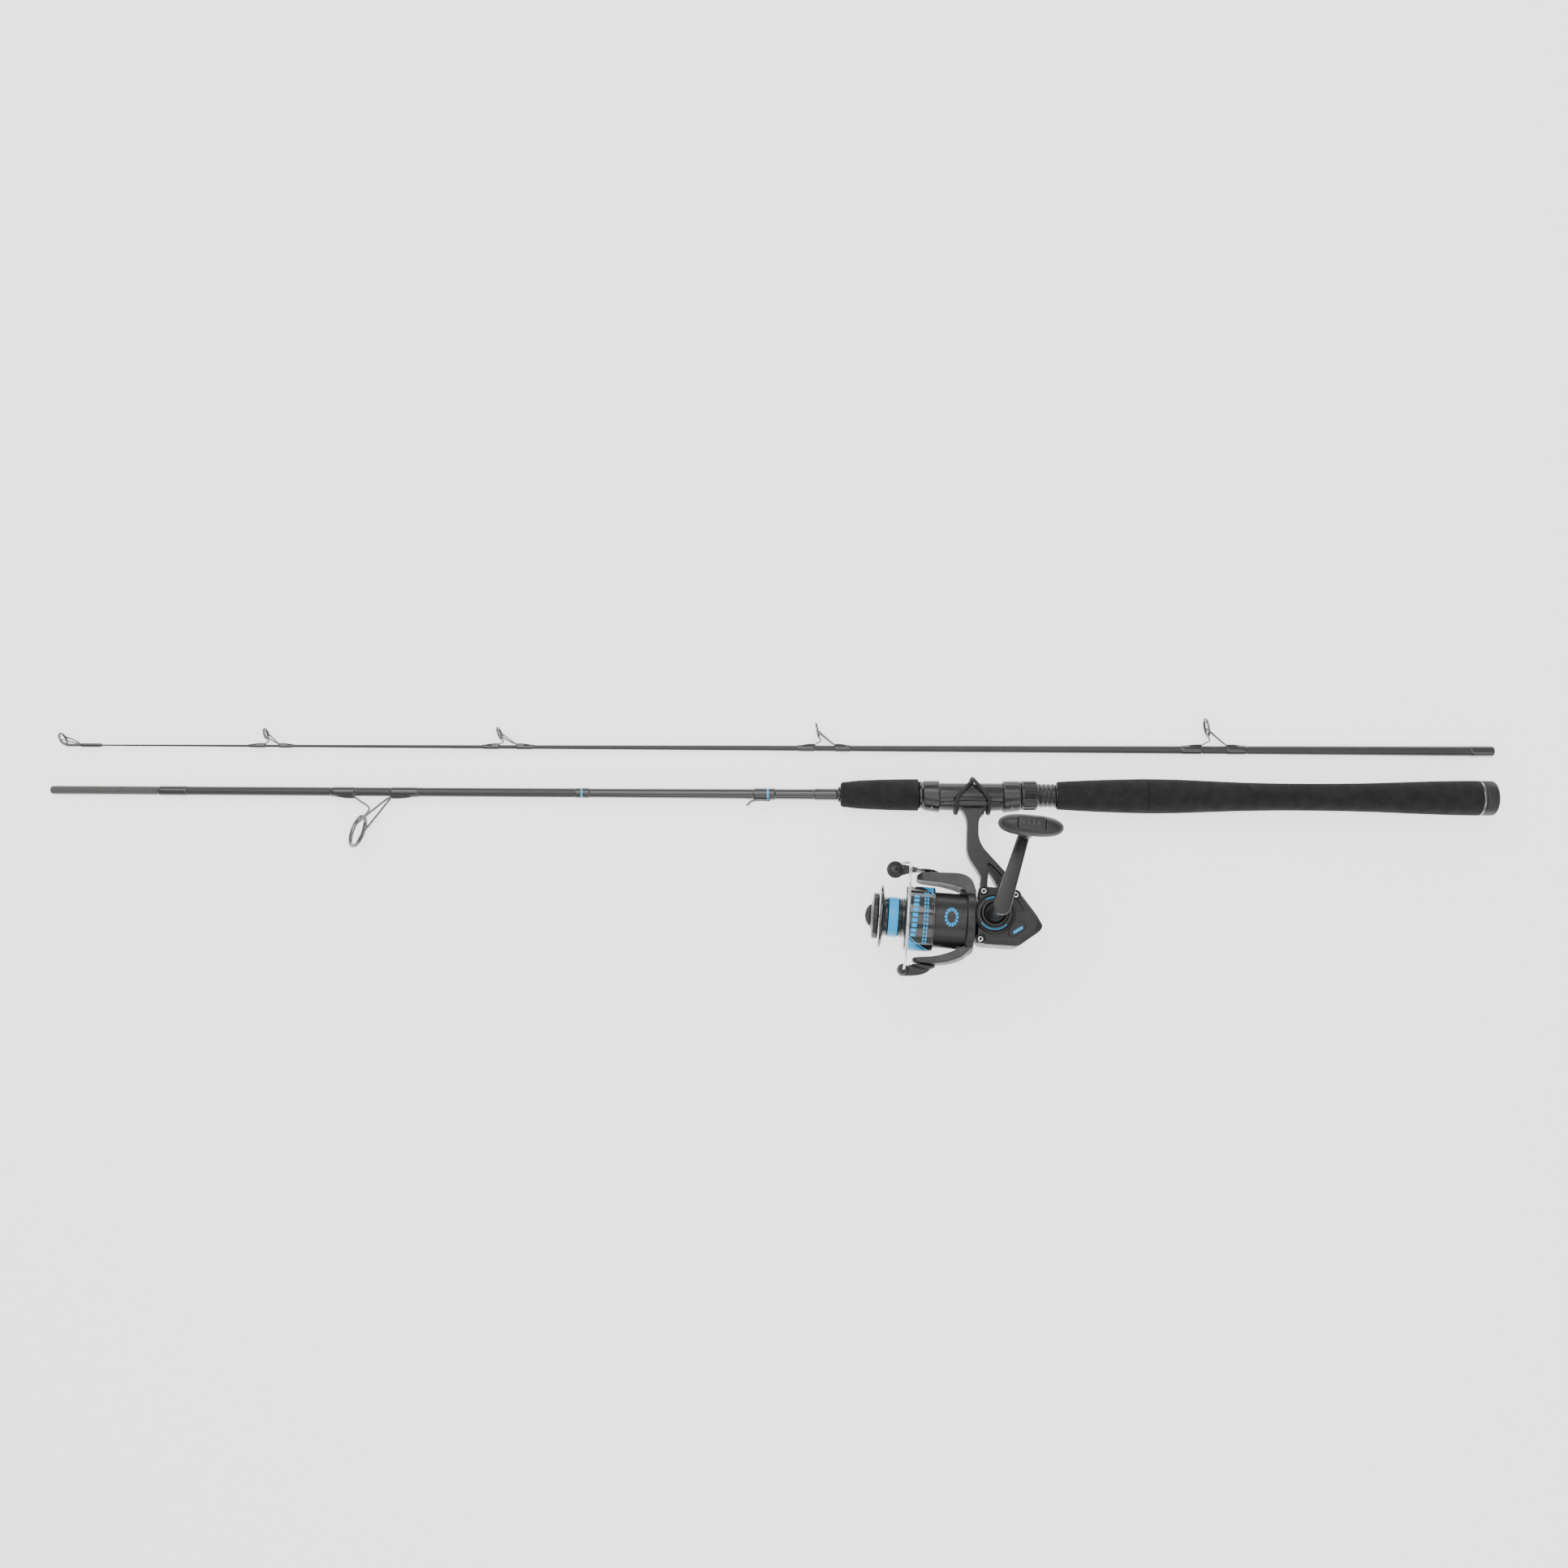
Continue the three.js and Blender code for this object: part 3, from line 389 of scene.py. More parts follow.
def piece(name, shell, place, body, looks, stands_for=(), sort=None, sharp=None):
    """A finished object in the world. looks is a material, or a list with sort(centre) -> number."""
    points = shell[0] @ place[:, :3].T + place[:, 3]
    mesh = mesh_of(name, points, shell[1])
    mesh.shade_smooth()
    if sharp:
        mesh.set_sharp_from_angle(angle=math.radians(sharp))
    looks = looks if isinstance(looks, list) else [looks]
    for look in looks:
        mesh.materials.append(look)
    if sort:
        local = shell[0]
        for polygon in mesh.polygons:
            centre = local[list(polygon.vertices)].mean(0)
            polygon.material_index = sort(centre)
    obj = placed(name, mesh)
    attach(obj, body)
    if stands_for:
        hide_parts(*([stands_for] if isinstance(stands_for, str) else stands_for))
    return obj


# ---------------------------------------------------------------- materials

GRAIN_BAND = (0.32, 0.72)          # noise values where the grain's tint starts and ends
PATCH_BAND = (0.3, 0.7)            # noise values where the broad roughness patches start and end
EDGE_HIGHLIGHT_BAND = (0.53, 0.62)           # pointiness where an edge starts to get its painted highlight
WAVE_PER_METRE = 0.31416           # a wave texture's argument for one ridge in each metre


def node(tree, kind, **values):
    made = tree.nodes.new(kind)
    for key, value in values.items():
        if key in made.inputs:
            made.inputs[key].default_value = value
        else:
            setattr(made, key.lower(), value)
    return made


def surface(name, color, roughness, metallic=0.0, grain=900.0, stretch=(1, 1, 1), speck=0.25,
            rough_spread=0.08, bump=0.1, bump_depth=0.00005, lines=None, edge_highlight=0.0, **principled):
    """Procedural finish: grain in colour, roughness and bump; lines adds fine parallel ridges; convex edges
    can be painted paler as a painted highlight.
    """
    mat = bpy.data.materials.new(name)
    mat.use_nodes = True
    tree = mat.node_tree
    shader = tree.nodes["Principled BSDF"]
    link = tree.links.new
    coords = node(tree, "ShaderNodeTexCoord")
    mapping = node(tree, "ShaderNodeMapping")
    mapping.inputs["Scale"].default_value = stretch
    link(coords.outputs["Object"], mapping.inputs["Vector"])
    fine = node(tree, "ShaderNodeTexNoise", Scale=grain, Detail=4.0, Roughness=0.6)
    link(mapping.outputs["Vector"], fine.inputs["Vector"])
    broad = node(tree, "ShaderNodeTexNoise", Scale=grain / 14, Detail=2.0, Roughness=0.5)
    link(mapping.outputs["Vector"], broad.inputs["Vector"])

    ramp = node(tree, "ShaderNodeValToRGB")
    low = [max(0.0, c * (1 - speck)) for c in color]
    high = [min(1.0, c * (1 + speck) + 0.004 * speck) for c in color]
    for stop, place, shade in zip(ramp.color_ramp.elements, GRAIN_BAND, (low, high)):
        stop.position = place
        stop.color = (*shade, 1)
    link(fine.outputs["Fac"], ramp.inputs["Fac"])
    tint = ramp.outputs["Color"]
    if edge_highlight:
        # Painted highlight: convex edges, found by pointiness, are mixed towards a paler copy of the colour.
        edge = node(tree, "ShaderNodeNewGeometry")
        edge_lit = node(tree, "ShaderNodeMapRange")
        edge_lit.inputs["From Min"].default_value, edge_lit.inputs["From Max"].default_value = EDGE_HIGHLIGHT_BAND
        edge_lit.inputs["To Max"].default_value = edge_highlight
        link(edge.outputs["Pointiness"], edge_lit.inputs["Value"])
        mix = node(tree, "ShaderNodeMix", data_type="RGBA")
        mix.inputs["B"].default_value = (*[min(1, c * 2.5 + 0.03) for c in color], 1)
        link(edge_lit.outputs["Result"], mix.inputs["Factor"])
        link(tint, mix.inputs["A"])
        tint = mix.outputs["Result"]
    link(tint, shader.inputs["Base Color"])

    spread = node(tree, "ShaderNodeMapRange")
    spread.inputs["From Min"].default_value, spread.inputs["From Max"].default_value = PATCH_BAND
    spread.inputs["To Min"].default_value = max(0.02, roughness - rough_spread)
    spread.inputs["To Max"].default_value = min(1.0, roughness + rough_spread)
    link(broad.outputs["Fac"], spread.inputs["Value"])
    link(spread.outputs["Result"], shader.inputs["Roughness"])

    height = fine.outputs["Fac"]
    if lines:
        direction, pitch, depth = lines
        wave = node(tree, "ShaderNodeTexWave", Scale=1.0)
        wave.bands_direction = "X"
        turned = node(tree, "ShaderNodeVectorMath", operation="DOT_PRODUCT")
        turned.inputs[1].default_value = tuple(np.array(unit(direction)) * WAVE_PER_METRE / (pitch * MM))
        link(coords.outputs["Object"], turned.inputs[0])
        link(turned.outputs["Value"], wave.inputs["Vector"])
        total = node(tree, "ShaderNodeMath", operation="MULTIPLY_ADD")
        total.inputs[1].default_value = depth
        link(wave.outputs["Fac"], total.inputs[0])
        link(height, total.inputs[2])
        height = total.outputs["Value"]
    relief = node(tree, "ShaderNodeBump", Strength=bump, Distance=bump_depth)
    link(height, relief.inputs["Height"])
    link(relief.outputs["Normal"], shader.inputs["Normal"])
    shader.inputs["Metallic"].default_value = metallic
    for key, value in principled.items():
        shader.inputs[key.replace("_", " ")].default_value = value
    return mat


ALONG = tuple(unit(BUTT[:, 0]))
SPOOL_LINE = tuple(unit(REEL[:, 0]))
BLUE = (0.0, 0.43, 0.92)

FOAM = surface("eva_foam", (0.0085, 0.0078, 0.0072), 0.9, grain=1500, speck=0.5, bump=0.5,
               bump_depth=0.00022)
BLANK = surface("blank_matte", (0.034, 0.033, 0.033), 0.42, metallic=0.15, grain=700,
                stretch=(0.15, 1, 1), speck=0.25, lines=(ALONG, 2.6, 0.5), bump=0.15,
                Coat_Weight=0.25, Coat_Roughness=0.35)
BLANK_GLOSS = surface("blank_gloss", (0.010, 0.010, 0.011), 0.16, grain=500, stretch=(0.2, 1, 1),
                      speck=0.2, rough_spread=0.03, bump=0.03, Coat_Weight=1.0, Coat_Roughness=0.05)
SANDED = surface("ferrule_sanded", (0.085, 0.080, 0.076), 0.55, grain=2600, stretch=(1, 0.2, 0.2),
                 speck=0.4, lines=(ALONG, 0.5, 0.6), bump=0.3)
THREAD = surface("wrap_thread", (0.010, 0.010, 0.011), 0.22, grain=1200, speck=0.3, rough_spread=0.03,
                 lines=(ALONG, 0.32, 1.2), bump=0.18, Coat_Weight=1.0, Coat_Roughness=0.03)
THREAD_BLUE = surface("wrap_blue", BLUE, 0.25, metallic=0.35, grain=1200, speck=0.25,
                      lines=(ALONG, 0.32, 1.2), bump=0.18, Coat_Weight=1.0, Coat_Roughness=0.03)
# The seat plastic, graphite paint and knob rubber get a painted highlight on their convex edges.
SEAT = surface("seat_plastic", (0.0100, 0.0095, 0.0090), 0.3, grain=1400, speck=0.3, bump=0.08,
               edge_highlight=0.2, Coat_Weight=0.3, Coat_Roughness=0.12)
GRAPHITE = surface("graphite_paint", (0.0135, 0.0128, 0.0122), 0.38, metallic=0.25, grain=2600,
                   speck=0.35, bump=0.06, edge_highlight=0.25, Coat_Weight=0.2, Coat_Roughness=0.25)
GLOSS = surface("gloss_black", (0.010, 0.010, 0.012), 0.14, metallic=0.25, grain=1800, speck=0.4,
                rough_spread=0.03, bump=0.04, Coat_Weight=1.0, Coat_Roughness=0.04)
SPOOL_BLUE = surface("accent_blue", BLUE, 0.4, grain=1600, speck=0.12,
                     rough_spread=0.05, bump=0.05, Coat_Weight=0.1, Coat_Roughness=0.15)
STEEL = surface("polished_steel", (0.66, 0.67, 0.69), 0.13, metallic=1.0, grain=2200, speck=0.08,
                rough_spread=0.05, bump=0.04)
TURNED = surface("turned_steel", (0.55, 0.56, 0.58), 0.22, metallic=1.0, grain=1800, speck=0.12,
                 lines=(SPOOL_LINE, 0.25, 0.8), bump=0.1)
CHROME = surface("dark_chrome", (0.20, 0.205, 0.215), 0.16, metallic=1.0, grain=1500, speck=0.15,
                 rough_spread=0.05, bump=0.05)
CERAMIC = surface("guide_ceramic", (0.03, 0.032, 0.036), 0.10, grain=1800, speck=0.2,
                  rough_spread=0.03, bump=0.03, Coat_Weight=0.6, Coat_Roughness=0.04)
RUBBER = surface("black_rubber", (0.010, 0.0095, 0.009), 0.62, grain=1400, speck=0.45, bump=0.3,
                 bump_depth=0.0001)
CAP_RUBBER = surface("cap_rubber", (0.016, 0.015, 0.014), 0.5, grain=1600, speck=0.25, bump=0.15)
KNOB_RUBBER = surface("knob_rubber", (0.0145, 0.0138, 0.0132), 0.42, grain=1800, speck=0.4, bump=0.25,
                      edge_highlight=0.2)
BRASS = surface("machined_brass", (0.52, 0.36, 0.14), 0.28, metallic=1.0, grain=1500, speck=0.15,
                bump=0.08)
HIDDEN_STEEL = surface("machine_steel", (0.45, 0.46, 0.48), 0.3, metallic=1.0, grain=1300, speck=0.2,
                       bump=0.1)
NYLON = surface("nylon", (0.05, 0.05, 0.055), 0.5, grain=1000, speck=0.2, bump=0.1)
FLOOR = surface("studio_floor", (0.90, 0.90, 0.90), 0.8, grain=60, speck=0.01, rough_spread=0.02,
                bump=0.02, Emission_Color=(1, 1, 1, 1), Emission_Strength=1.5)


# ---------------------------------------------------------------- blanks and wraps

def spline(points, per):
    """A smooth curve through a few (station, radius) points, with per points to a span."""
    flat = [(s, r, 0.0) for s, r in points]
    return [(p[0], p[1]) for p in smooth_path(flat, per)]


SPIGOT_END, SPIGOT_SHOULDER = -809.3, -714.5
GLOSS_FROM = -334
BUTT_END = 441
TIP_START = -795.4
SOCKET_DEPTH = 95
# Each section's outside radius at a few stations.
BUTT_LINE = [(-714, 3.75), (-353, 4.08), (-118, 4.8), (-45, 5.0), (BUTT_END, 5.0)]
TIP_LINE = [(TIP_START, 0.62), (-615, 1.13), (-412, 1.67), (-130, 2.48), (216, 3.55), (437.5, 4.33)]


def radius_on(line, x):
    return float(np.interp(x, [p[0] for p in line], [p[1] for p in line]))


outer = [(SPIGOT_END, 3.0), (SPIGOT_END + 0.8, 3.42), (SPIGOT_END + 2.6, 3.65), (SPIGOT_SHOULDER, 3.65),
         *BUTT_LINE[:2], (GLOSS_FROM, radius_on(BUTT_LINE, GLOSS_FROM)), *BUTT_LINE[2:]]
inner = [(BUTT_END, 3.8), (-353, 2.9), (SPIGOT_END + 2.4, 2.35), (SPIGOT_END, 2.5)]
shell = revolve([*outer, *inner, outer[0]], sides=48, radius=0.3)
piece("butt_blank_skin", shell, BUTT, "butt_section", [SANDED, BLANK, BLANK_GLOSS], "butt_blank",
      sort=lambda c: 0 if c[0] < SPIGOT_SHOULDER + 0.2 else 1 if c[0] < GLOSS_FROM else 2)

outer = [(TIP_START, 0), *TIP_LINE, (438, 4.33), (TIP_END - 0.8, 4.4), (TIP_END, 4.2)]
deep = TIP_END - SOCKET_DEPTH
shell = revolve([*outer, (TIP_END, 3.8), (TIP_END - 65, 3.8), (deep, 2.6), (deep, 0)], sides=48, radius=0.3)
piece("tip_blank_skin", shell, TIP, "tip_section", BLANK, "tip_blank")


def hull_radius(r, centre, foot, angles):
    """Radius of a string drawn tight round a circle and a second one standing off at angle 0."""
    phi = np.linspace(-math.pi, math.pi, 241)
    support = np.maximum(r, centre * np.cos(phi) + foot)
    slant = np.cos(angles[:, None] - phi[None, :])
    slant = np.where(slant > 0.03, slant, np.nan)
    return np.nanmin(support[None, :] / slant, axis=1)


def rise(t):
    """Smooth step from 0 to 1."""
    t = max(0.0, min(1.0, t))
    return t * t * (3 - 2 * t)


def foot_at(line, leg, tip, heel, x):
    """Height and radius of a guide foot filed down from its heel to its tip."""
    thin = leg * (0.22 + 0.78 * rise(1.25 * (x - tip) / (heel - tip)))
    return radius_on(line, x) + thin + 0.06, thin


def wrap(name, place, body, line, x0, x1, thick=0.42, foot=None, side=1, ends=(1.6, 1.6), look=None,
         slot="blank"):
    """Epoxied thread from x0 to x1. foot is (leg radius, tip, heel) where the thread binds one."""
    angles = around(96)
    turned = angles if side > 0 else angles + math.pi
    rings = []
    for x in np.linspace(x0, x1, max(9, int((x1 - x0) / 0.6))):
        ease = math.sin(max(0.0, min(1.0, (x - x0) / ends[0], (x1 - x) / ends[1])) * math.pi / 2) ** 0.8
        r = radius_on(line, x) + 0.03 + thick * ease
        radii = np.full(len(angles), r)
        if foot:
            centre, thin = foot_at(line, *foot, x)
            radii = np.maximum(r, hull_radius(r, centre, thin + 0.3 * ease, turned))
        rings.append([(x, q * math.cos(a), q * math.sin(a)) for q, a in zip(radii, angles)])
    return piece(name, shell_of_rings(rings), place, body, look or THREAD)


def band(name, place, body, line, x, width, thick, **fit):
    """Narrow blue whipping over a wrap."""
    wrap(name, place, body, line, x - width / 2, x + width / 2, thick=thick + 0.05, ends=(0.25, 0.25),
         look=THREAD_BLUE, slot="accent_blue", **fit)


KEEPER = dict(foot=(0.55, -171, -189), side=-1)
wrap("ferrule_wrap", BUTT, "butt_section", BUTT_LINE, -714.1, -688.7, thick=0.5)
wrap("blank_wrap_front", BUTT, "butt_section", BUTT_LINE, -347.8, -334.4)
band("blank_band_front", BUTT, "butt_section", BUTT_LINE, -341.4, 2.0, 0.42)
wrap("keeper_wrap", BUTT, "butt_section", BUTT_LINE, -191.4, -171.6, thick=0.6, **KEEPER)
band("keeper_band", BUTT, "butt_section", BUTT_LINE, -178.5, 2.2, 0.6, **KEEPER)
wrap("grip_wrap", BUTT, "butt_section", BUTT_LINE, -138.3, -117.9, thick=0.45)
wrap("end_wrap", TIP, "tip_section", TIP_LINE, 438.2, 458.9, thick=0.36)

CHECK_X = -117.7
check = [(CHECK_X + s, r) for s, r in ((0, 5.25), (0, 6.2), (0.8, 6.9), (1.8, 7.0), (2.4, 6.6), (2.4, 5.25),
                                      (0, 5.25))]
piece("winding_check_ring", revolve(check, sides=72), BUTT, "butt_section", GLOSS, "winding_check")


# ---------------------------------------------------------------- guides

def circle_point(x, height, r, lean, angle):
    """A point on a leant ring, at an angle from its lowest point."""
    return (x + math.cos(angle) * r * math.sin(lean), height - math.cos(angle) * r * math.cos(lean),
            r * math.sin(angle))


STRUT_SPREAD = math.radians(82)


def foot_path(line, leg, tip, heel, count=6):
    """Points and radii along a foot, tip first."""
    stations = [foot_at(line, leg, tip, heel, x) for x in np.linspace(tip, heel, count)]
    return ([(x, h, 0) for x, (h, _) in zip(np.linspace(tip, heel, count), stations)],
            [r for _, r in stations])


def leg_shell(foot, climb, leg, per=5):
    """A leg from its filed foot up through the points of climb."""
    points, radii = foot
    path = smooth_path([*points, *climb], per)
    known = np.array([p[0] for p in points])
    order = np.argsort(known)
    ends = (known.min(), known.max())
    sizes = [float(np.interp(p[0], known[order], np.array(radii)[order])) if ends[0] <= p[0] <= ends[1]
             and p[1] <= points[-1][1] + 0.4 else leg for p in path]
    return sweep(path, sizes, 16)


def guide_shells(line, x, height, ring_r, lean, front_foot, rear_foot, leg, hoop):
    """Frame and insert of a two-footed guide standing in the XY plane, feet along X."""
    hoop_r = ring_r - hoop
    bottom = circle_point(x, height, hoop_r, lean, 0)
    heel = front_foot[1]
    low = foot_at(line, leg, *front_foot, heel)[0]
    drop = bottom[1] - low
    parts = [torus((x, height, 0), hoop_r, hoop, lean, 72, 16, flat=1.5),
             leg_shell(foot_path(line, leg, front_foot[0], heel - 1.2),
                       [(heel + 0.4, low + 0.25, 0), (heel + 0.6 * (bottom[0] - heel), low + 0.22 * drop, 0),
                        (bottom[0] + 0.24 * drop, low + 0.58 * drop, 0), bottom], leg)]
    for turn in (STRUT_SPREAD, -STRUT_SPREAD):
        top = circle_point(x, height, hoop_r, lean, turn)
        middle = (0.5 * (top[0] + rear_foot[0]), 0.5 * (top[1] + low) - 0.02 * height, 0.6 * top[2])
        parts.append(leg_shell(foot_path(line, leg, rear_foot[1], rear_foot[0] + 1.2),
                               [(rear_foot[0] - 0.4, low + 0.3, 0.1 * top[2]), middle, top], leg))
    frame_shell = moulded(united(*parts), voxel=max(0.13, leg * 0.22), rounds=4, keep=0.5)
    insert = torus((x, height, 0), ring_r - 1.81 * hoop - 0.75, 0.62, lean, 72, 14, flat=1.5)
    return frame_shell, insert


def flipped(shell):
    return shell[0] * (1, -1, -1), shell[1]


def guide(name, place, body, side, line, **spec):
    frame_shell, insert = guide_shells(line, **spec)
    if side < 0:
        frame_shell, insert = flipped(frame_shell), flipped(insert)
    piece(name + "_hoop", frame_shell, place, body, CHROME, name + "_frame")
    piece(name + "_insert", insert, place, body, CERAMIC, name + "_ring")
    (tip, heel), leg = spec["front_foot"], spec["leg"]
    wrap(name + "_wrap_front", place, body, line, tip - 1.6, heel + 0.6, thick=0.45,
         foot=(leg, tip, heel - 1.2), side=side, ends=(4.5, 1.2))
    heel, tip = spec["rear_foot"]
    wrap(name + "_wrap_rear", place, body, line, heel - 0.6, tip + 1.6, thick=0.45,
         foot=(leg, tip, heel + 1.2), side=side, ends=(1.2, 4.5))


guide("stripper_guide", BUTT, "butt_section", -1, BUTT_LINE, x=-536, height=35.6, ring_r=15.2,
      lean=math.radians(18), front_foot=(-560.6, -541.5), rear_foot=(-508.9, -486.6), leg=0.95, hoop=1.25)
TIP_GUIDES = [
    dict(x=-619.6, height=11, ring_r=5.4, lean=14, front_foot=(-634.3, -621), rear_foot=(-608.6, -596.5)),
    dict(x=-414.4, height=12.1, ring_r=6.35, lean=21, front_foot=(-428.9, -415.3),
         rear_foot=(-399.8, -385.5)),
    dict(x=-135.4, height=16.2, ring_r=7.1, lean=12, front_foot=(-151.9, -138), rear_foot=(-119.9, -106.8)),
    dict(x=206, height=20.1, ring_r=8.65, lean=10, front_foot=(185.4, 202), rear_foot=(224.6, 240.6)),
]
for number, spec in enumerate(TIP_GUIDES, 1):
    spec["lean"] = math.radians(spec["lean"])
    guide(f"guide_{number}", TIP, "tip_section", 1, TIP_LINE, leg=0.62, hoop=0.68, **spec)

TOP_LEAN = math.radians(25)
at = (TIP_START - 2.8, 5.4, 0)
top = [torus(at, 5.75, 0.62, TOP_LEAN, 64, 14, flat=1.3),
       revolve([(TIP_START - 0.1, 0.95), (TIP_START - 0.1, 1.35), (TIP_START + 30, 1.35),
                (TIP_START + 30, 0.95), (TIP_START - 0.1, 0.95)], sides=40, radius=0.1)]
for side in (1, -1):
    top.append(capped(smooth_path([(at[0], at[1] + 0.8, side * 5.75), (at[0] + 8, 3.8, side * 3.9),
                                   (at[0] + 14.5, 1.3, side * 0.9)], 6), 0.58))
piece("tip_top_hoop", moulded(united(*top), 0.15, 3, 0.6), TIP, "tip_section", CHROME, "tip_top_frame")
piece("tip_top_insert", torus(at, 4.55, 0.6, TOP_LEAN, 64, 14, flat=1.4), TIP, "tip_section",
      CERAMIC, "tip_top_ring")
wrap("tip_top_wrap", TIP, "tip_section", [(TIP_START, 1.36), (TIP_START + 31, 1.36)], TIP_START + 12,
     TIP_START + 31, thick=0.35, ends=(2.5, 2.5))

hook = smooth_path([(-177, -5.6, 2.2), (-189, -5.6, 2.3), (-192.5, -6.3, 2.3), (-196, -9.4, 1.9),
                    (-197, -10.6, 0), (-196, -9.4, -1.9), (-192.5, -6.3, -2.3), (-189, -5.6, -2.3),
                    (-177, -5.6, -2.2)], 8)
piece("hook_keeper_wire", capped(hook, 0.55), BUTT, "butt_section", CHROME, "hook_keeper")


# ---------------------------------------------------------------- grips and seat

BORE = 5.3
FORE_END, REAR_START, GRIP_SEAM, REAR_END = -47.4, 73.6, 151, 438.6
fore = spline([(-115, 9.6), (-113.6, 10.7), (-109, 11.3), (-100, 12.3), (-87, 13.0), (-69, 13.6),
               (FORE_END, 13.9)], 8)
shell = revolve([*fore, (FORE_END, BORE), (-115, BORE), fore[0]], sides=96, radius=0.8)
grips = [piece("fore_grip_foam", shell, BUTT, "butt_section", FOAM, "fore_grip")]
seam = GRIP_SEAM - 0.1
front = spline([(REAR_START + 0.6, 12.2), (83, 12.7), (106, 13.85), (131, 14.7), (seam, 15.1)], 10)
shell = revolve([(REAR_START, BORE), (REAR_START, 11.4), *front, (seam, BORE), (REAR_START, BORE)],
                sides=96, radius=0.5)
grips.append(piece("rear_grip_front_foam", shell, BUTT, "butt_section", FOAM, "rear_grip_front"))
seam = GRIP_SEAM + 0.1
rear = spline([(seam, 15.1), (175, 14.8), (210, 13.45), (239, 12.4), (280, 11.85), (315, 12.05),
               (350, 12.75), (384, 14.0), (419, 15.0), (REAR_END, 15.2)], 10)
shell = revolve([(seam, BORE), *rear, (REAR_END, BORE), (seam, BORE)], sides=96, radius=0.5)
grips.append(piece("rear_grip_rear_foam", shell, BUTT, "butt_section", FOAM, "rear_grip_rear"))

cap = [(441.4, 0), (441.4, 15.1), (451, 15.1), (452.4, 14.3), (453, 13), (453, 0)]
piece("butt_cap_rubber", revolve(cap, sides=96, radius=1.6), BUTT, "butt_section", CAP_RUBBER, "butt_cap")
trim = [(438.9, BORE), (438.9, 15.1), (439.4, 15.3), (440.6, 15.3), (441.1, 15.1), (441.1, BORE),
        (438.9, BORE)]
piece("butt_trim_metal", revolve(trim, sides=96, radius=0.3), BUTT, "butt_section", CHROME,
      "butt_trim_ring")
trim = [(-47.0, BORE), (-47.0, 11.6), (-46.1, 12.4), (-44.9, 12.4), (-43.9, 11.8), (-43.9, BORE),
        (-47.0, BORE)]
piece("grip_trim_gloss", revolve(trim, sides=96, radius=0.4), BUTT, "butt_section", GLOSS,
      "grip_trim_ring")

BARREL_R, HOOD_R = 10.65, 12.6
THREAD_PITCH, THREAD_FROM, THREAD_ROOT = 3.9, 56.0, 9.75


def thread_form(station, angle):
    """Rounded buttress turns of the lock nut's thread on the back of the barrel."""
    if station < THREAD_FROM or station > 73.2:
        return 1.0
    phase = ((station - THREAD_FROM) / THREAD_PITCH - angle / FULL_TURN) % 1
    crest = max(0.0, min(1.0, 2.6 * (0.5 - abs(phase - 0.5)) - 0.25))
    fade = min(1.0, (station - THREAD_FROM) / 1.5)
    return (THREAD_ROOT + (BARREL_R - THREAD_ROOT) * (crest * fade + 1 - fade)) / BARREL_R


barrel = [(-43.1, BORE), (-43.1, BARREL_R), (THREAD_FROM, BARREL_R)]
barrel += [(s, BARREL_R) for s in np.arange(THREAD_FROM + 0.26, 73.2, 0.26)]
barrel += [(73.3, BORE), (-43.1, BORE)]
piece("seat_barrel_threaded", revolve(barrel, sides=96, radius=0, shape=thread_form), BUTT,
      "butt_section", SEAT, "seat_barrel", sharp=50)


def saddle_plan(clear):
    """Boat-shaped plan of the reel foot, (x, z)."""
    def power(value, exponent):
        return math.copysign(abs(value) ** exponent, value)
    return [(-0.9 + (40.1 + clear) * power(math.cos(a), 0.7), (8.6 + clear) * power(math.sin(a), 0.55))
            for a in around(72)]


def foot_saddle(clear):
    """The reel foot on the seat, grown by clear for the pocket that takes it."""
    line = [(39.2 + clear, 12.1), (36, 12.5), (16, 13.7), (0, 14.1), (-16, 13.7), (-36, 12.5),
            (-41 - clear, 12.1)]
    line = [(x, r + clear) for x, r in spline(line, 5)]
    bore = BARREL_R + 0.3
    body = revolve([*line, (line[-1][0], bore), (line[0][0], bore), line[0]], sides=144, radius=0)
    return common(body, slab(saddle_plan(clear), -20, -4, axis="y"))


def hood_shell(x0, bulge0, x1, bulge1):
    """Ring round the seat from x0 to x1 that swells on the reel's side to clear the foot."""
    rings = []
    for t in np.linspace(0, 1, 16):
        x = x0 + (x1 - x0) * t
        bulge = bulge0 + (bulge1 - bulge0) * t
        edge = min(1.0, (x - x0) / 1.2, (x1 - x) / 1.2)
        r = HOOD_R - 0.8 * (1 - math.sqrt(max(0.0, 1 - (1 - edge) ** 2)))
        ring = []
        for a in around(96):
            reach = r + bulge * max(0.0, -math.cos(a)) ** 2
            ring.append((x, reach * math.cos(a), reach * math.sin(a)))
        rings.append(ring)
    return shell_of_rings(rings)


PIN_PROFILE = [(-13.3, 0), (-13.3, 1.0), (-13.0, 1.1), (-12.0, 1.1), (-12.0, 0)]
pocket = foot_saddle(0.35)
bore = disc(-60, 80, BARREL_R + 0.35, sides=144)
for label, body, plan, pin_x in (("fixed_hood", "butt_section", (-43.5, 0.7, -28.8, 2.8), -35.9),
                                 ("sliding_hood", "sliding_hood", (26.2, 2.7, 41.6, 1.0), 33.8)):
    shell = moulded(cut(hood_shell(*plan), bore, pocket), 0.3, 3, 0.6)
    piece(label + "_moulded", shell, BUTT, body, SEAT, label)
    pin = revolve(PIN_PROFILE, "y", 24, (pin_x, 0, 6.0), 0.15)
    piece(label + "_pin", pin, BUTT, body, CHROME)

NUT_R = 12.75
NUT_PANELS, PANEL_RIBS = 9, 5
PANEL_SHARE = (0.12, 0.88)         # part of each panel's turn that is ribbed


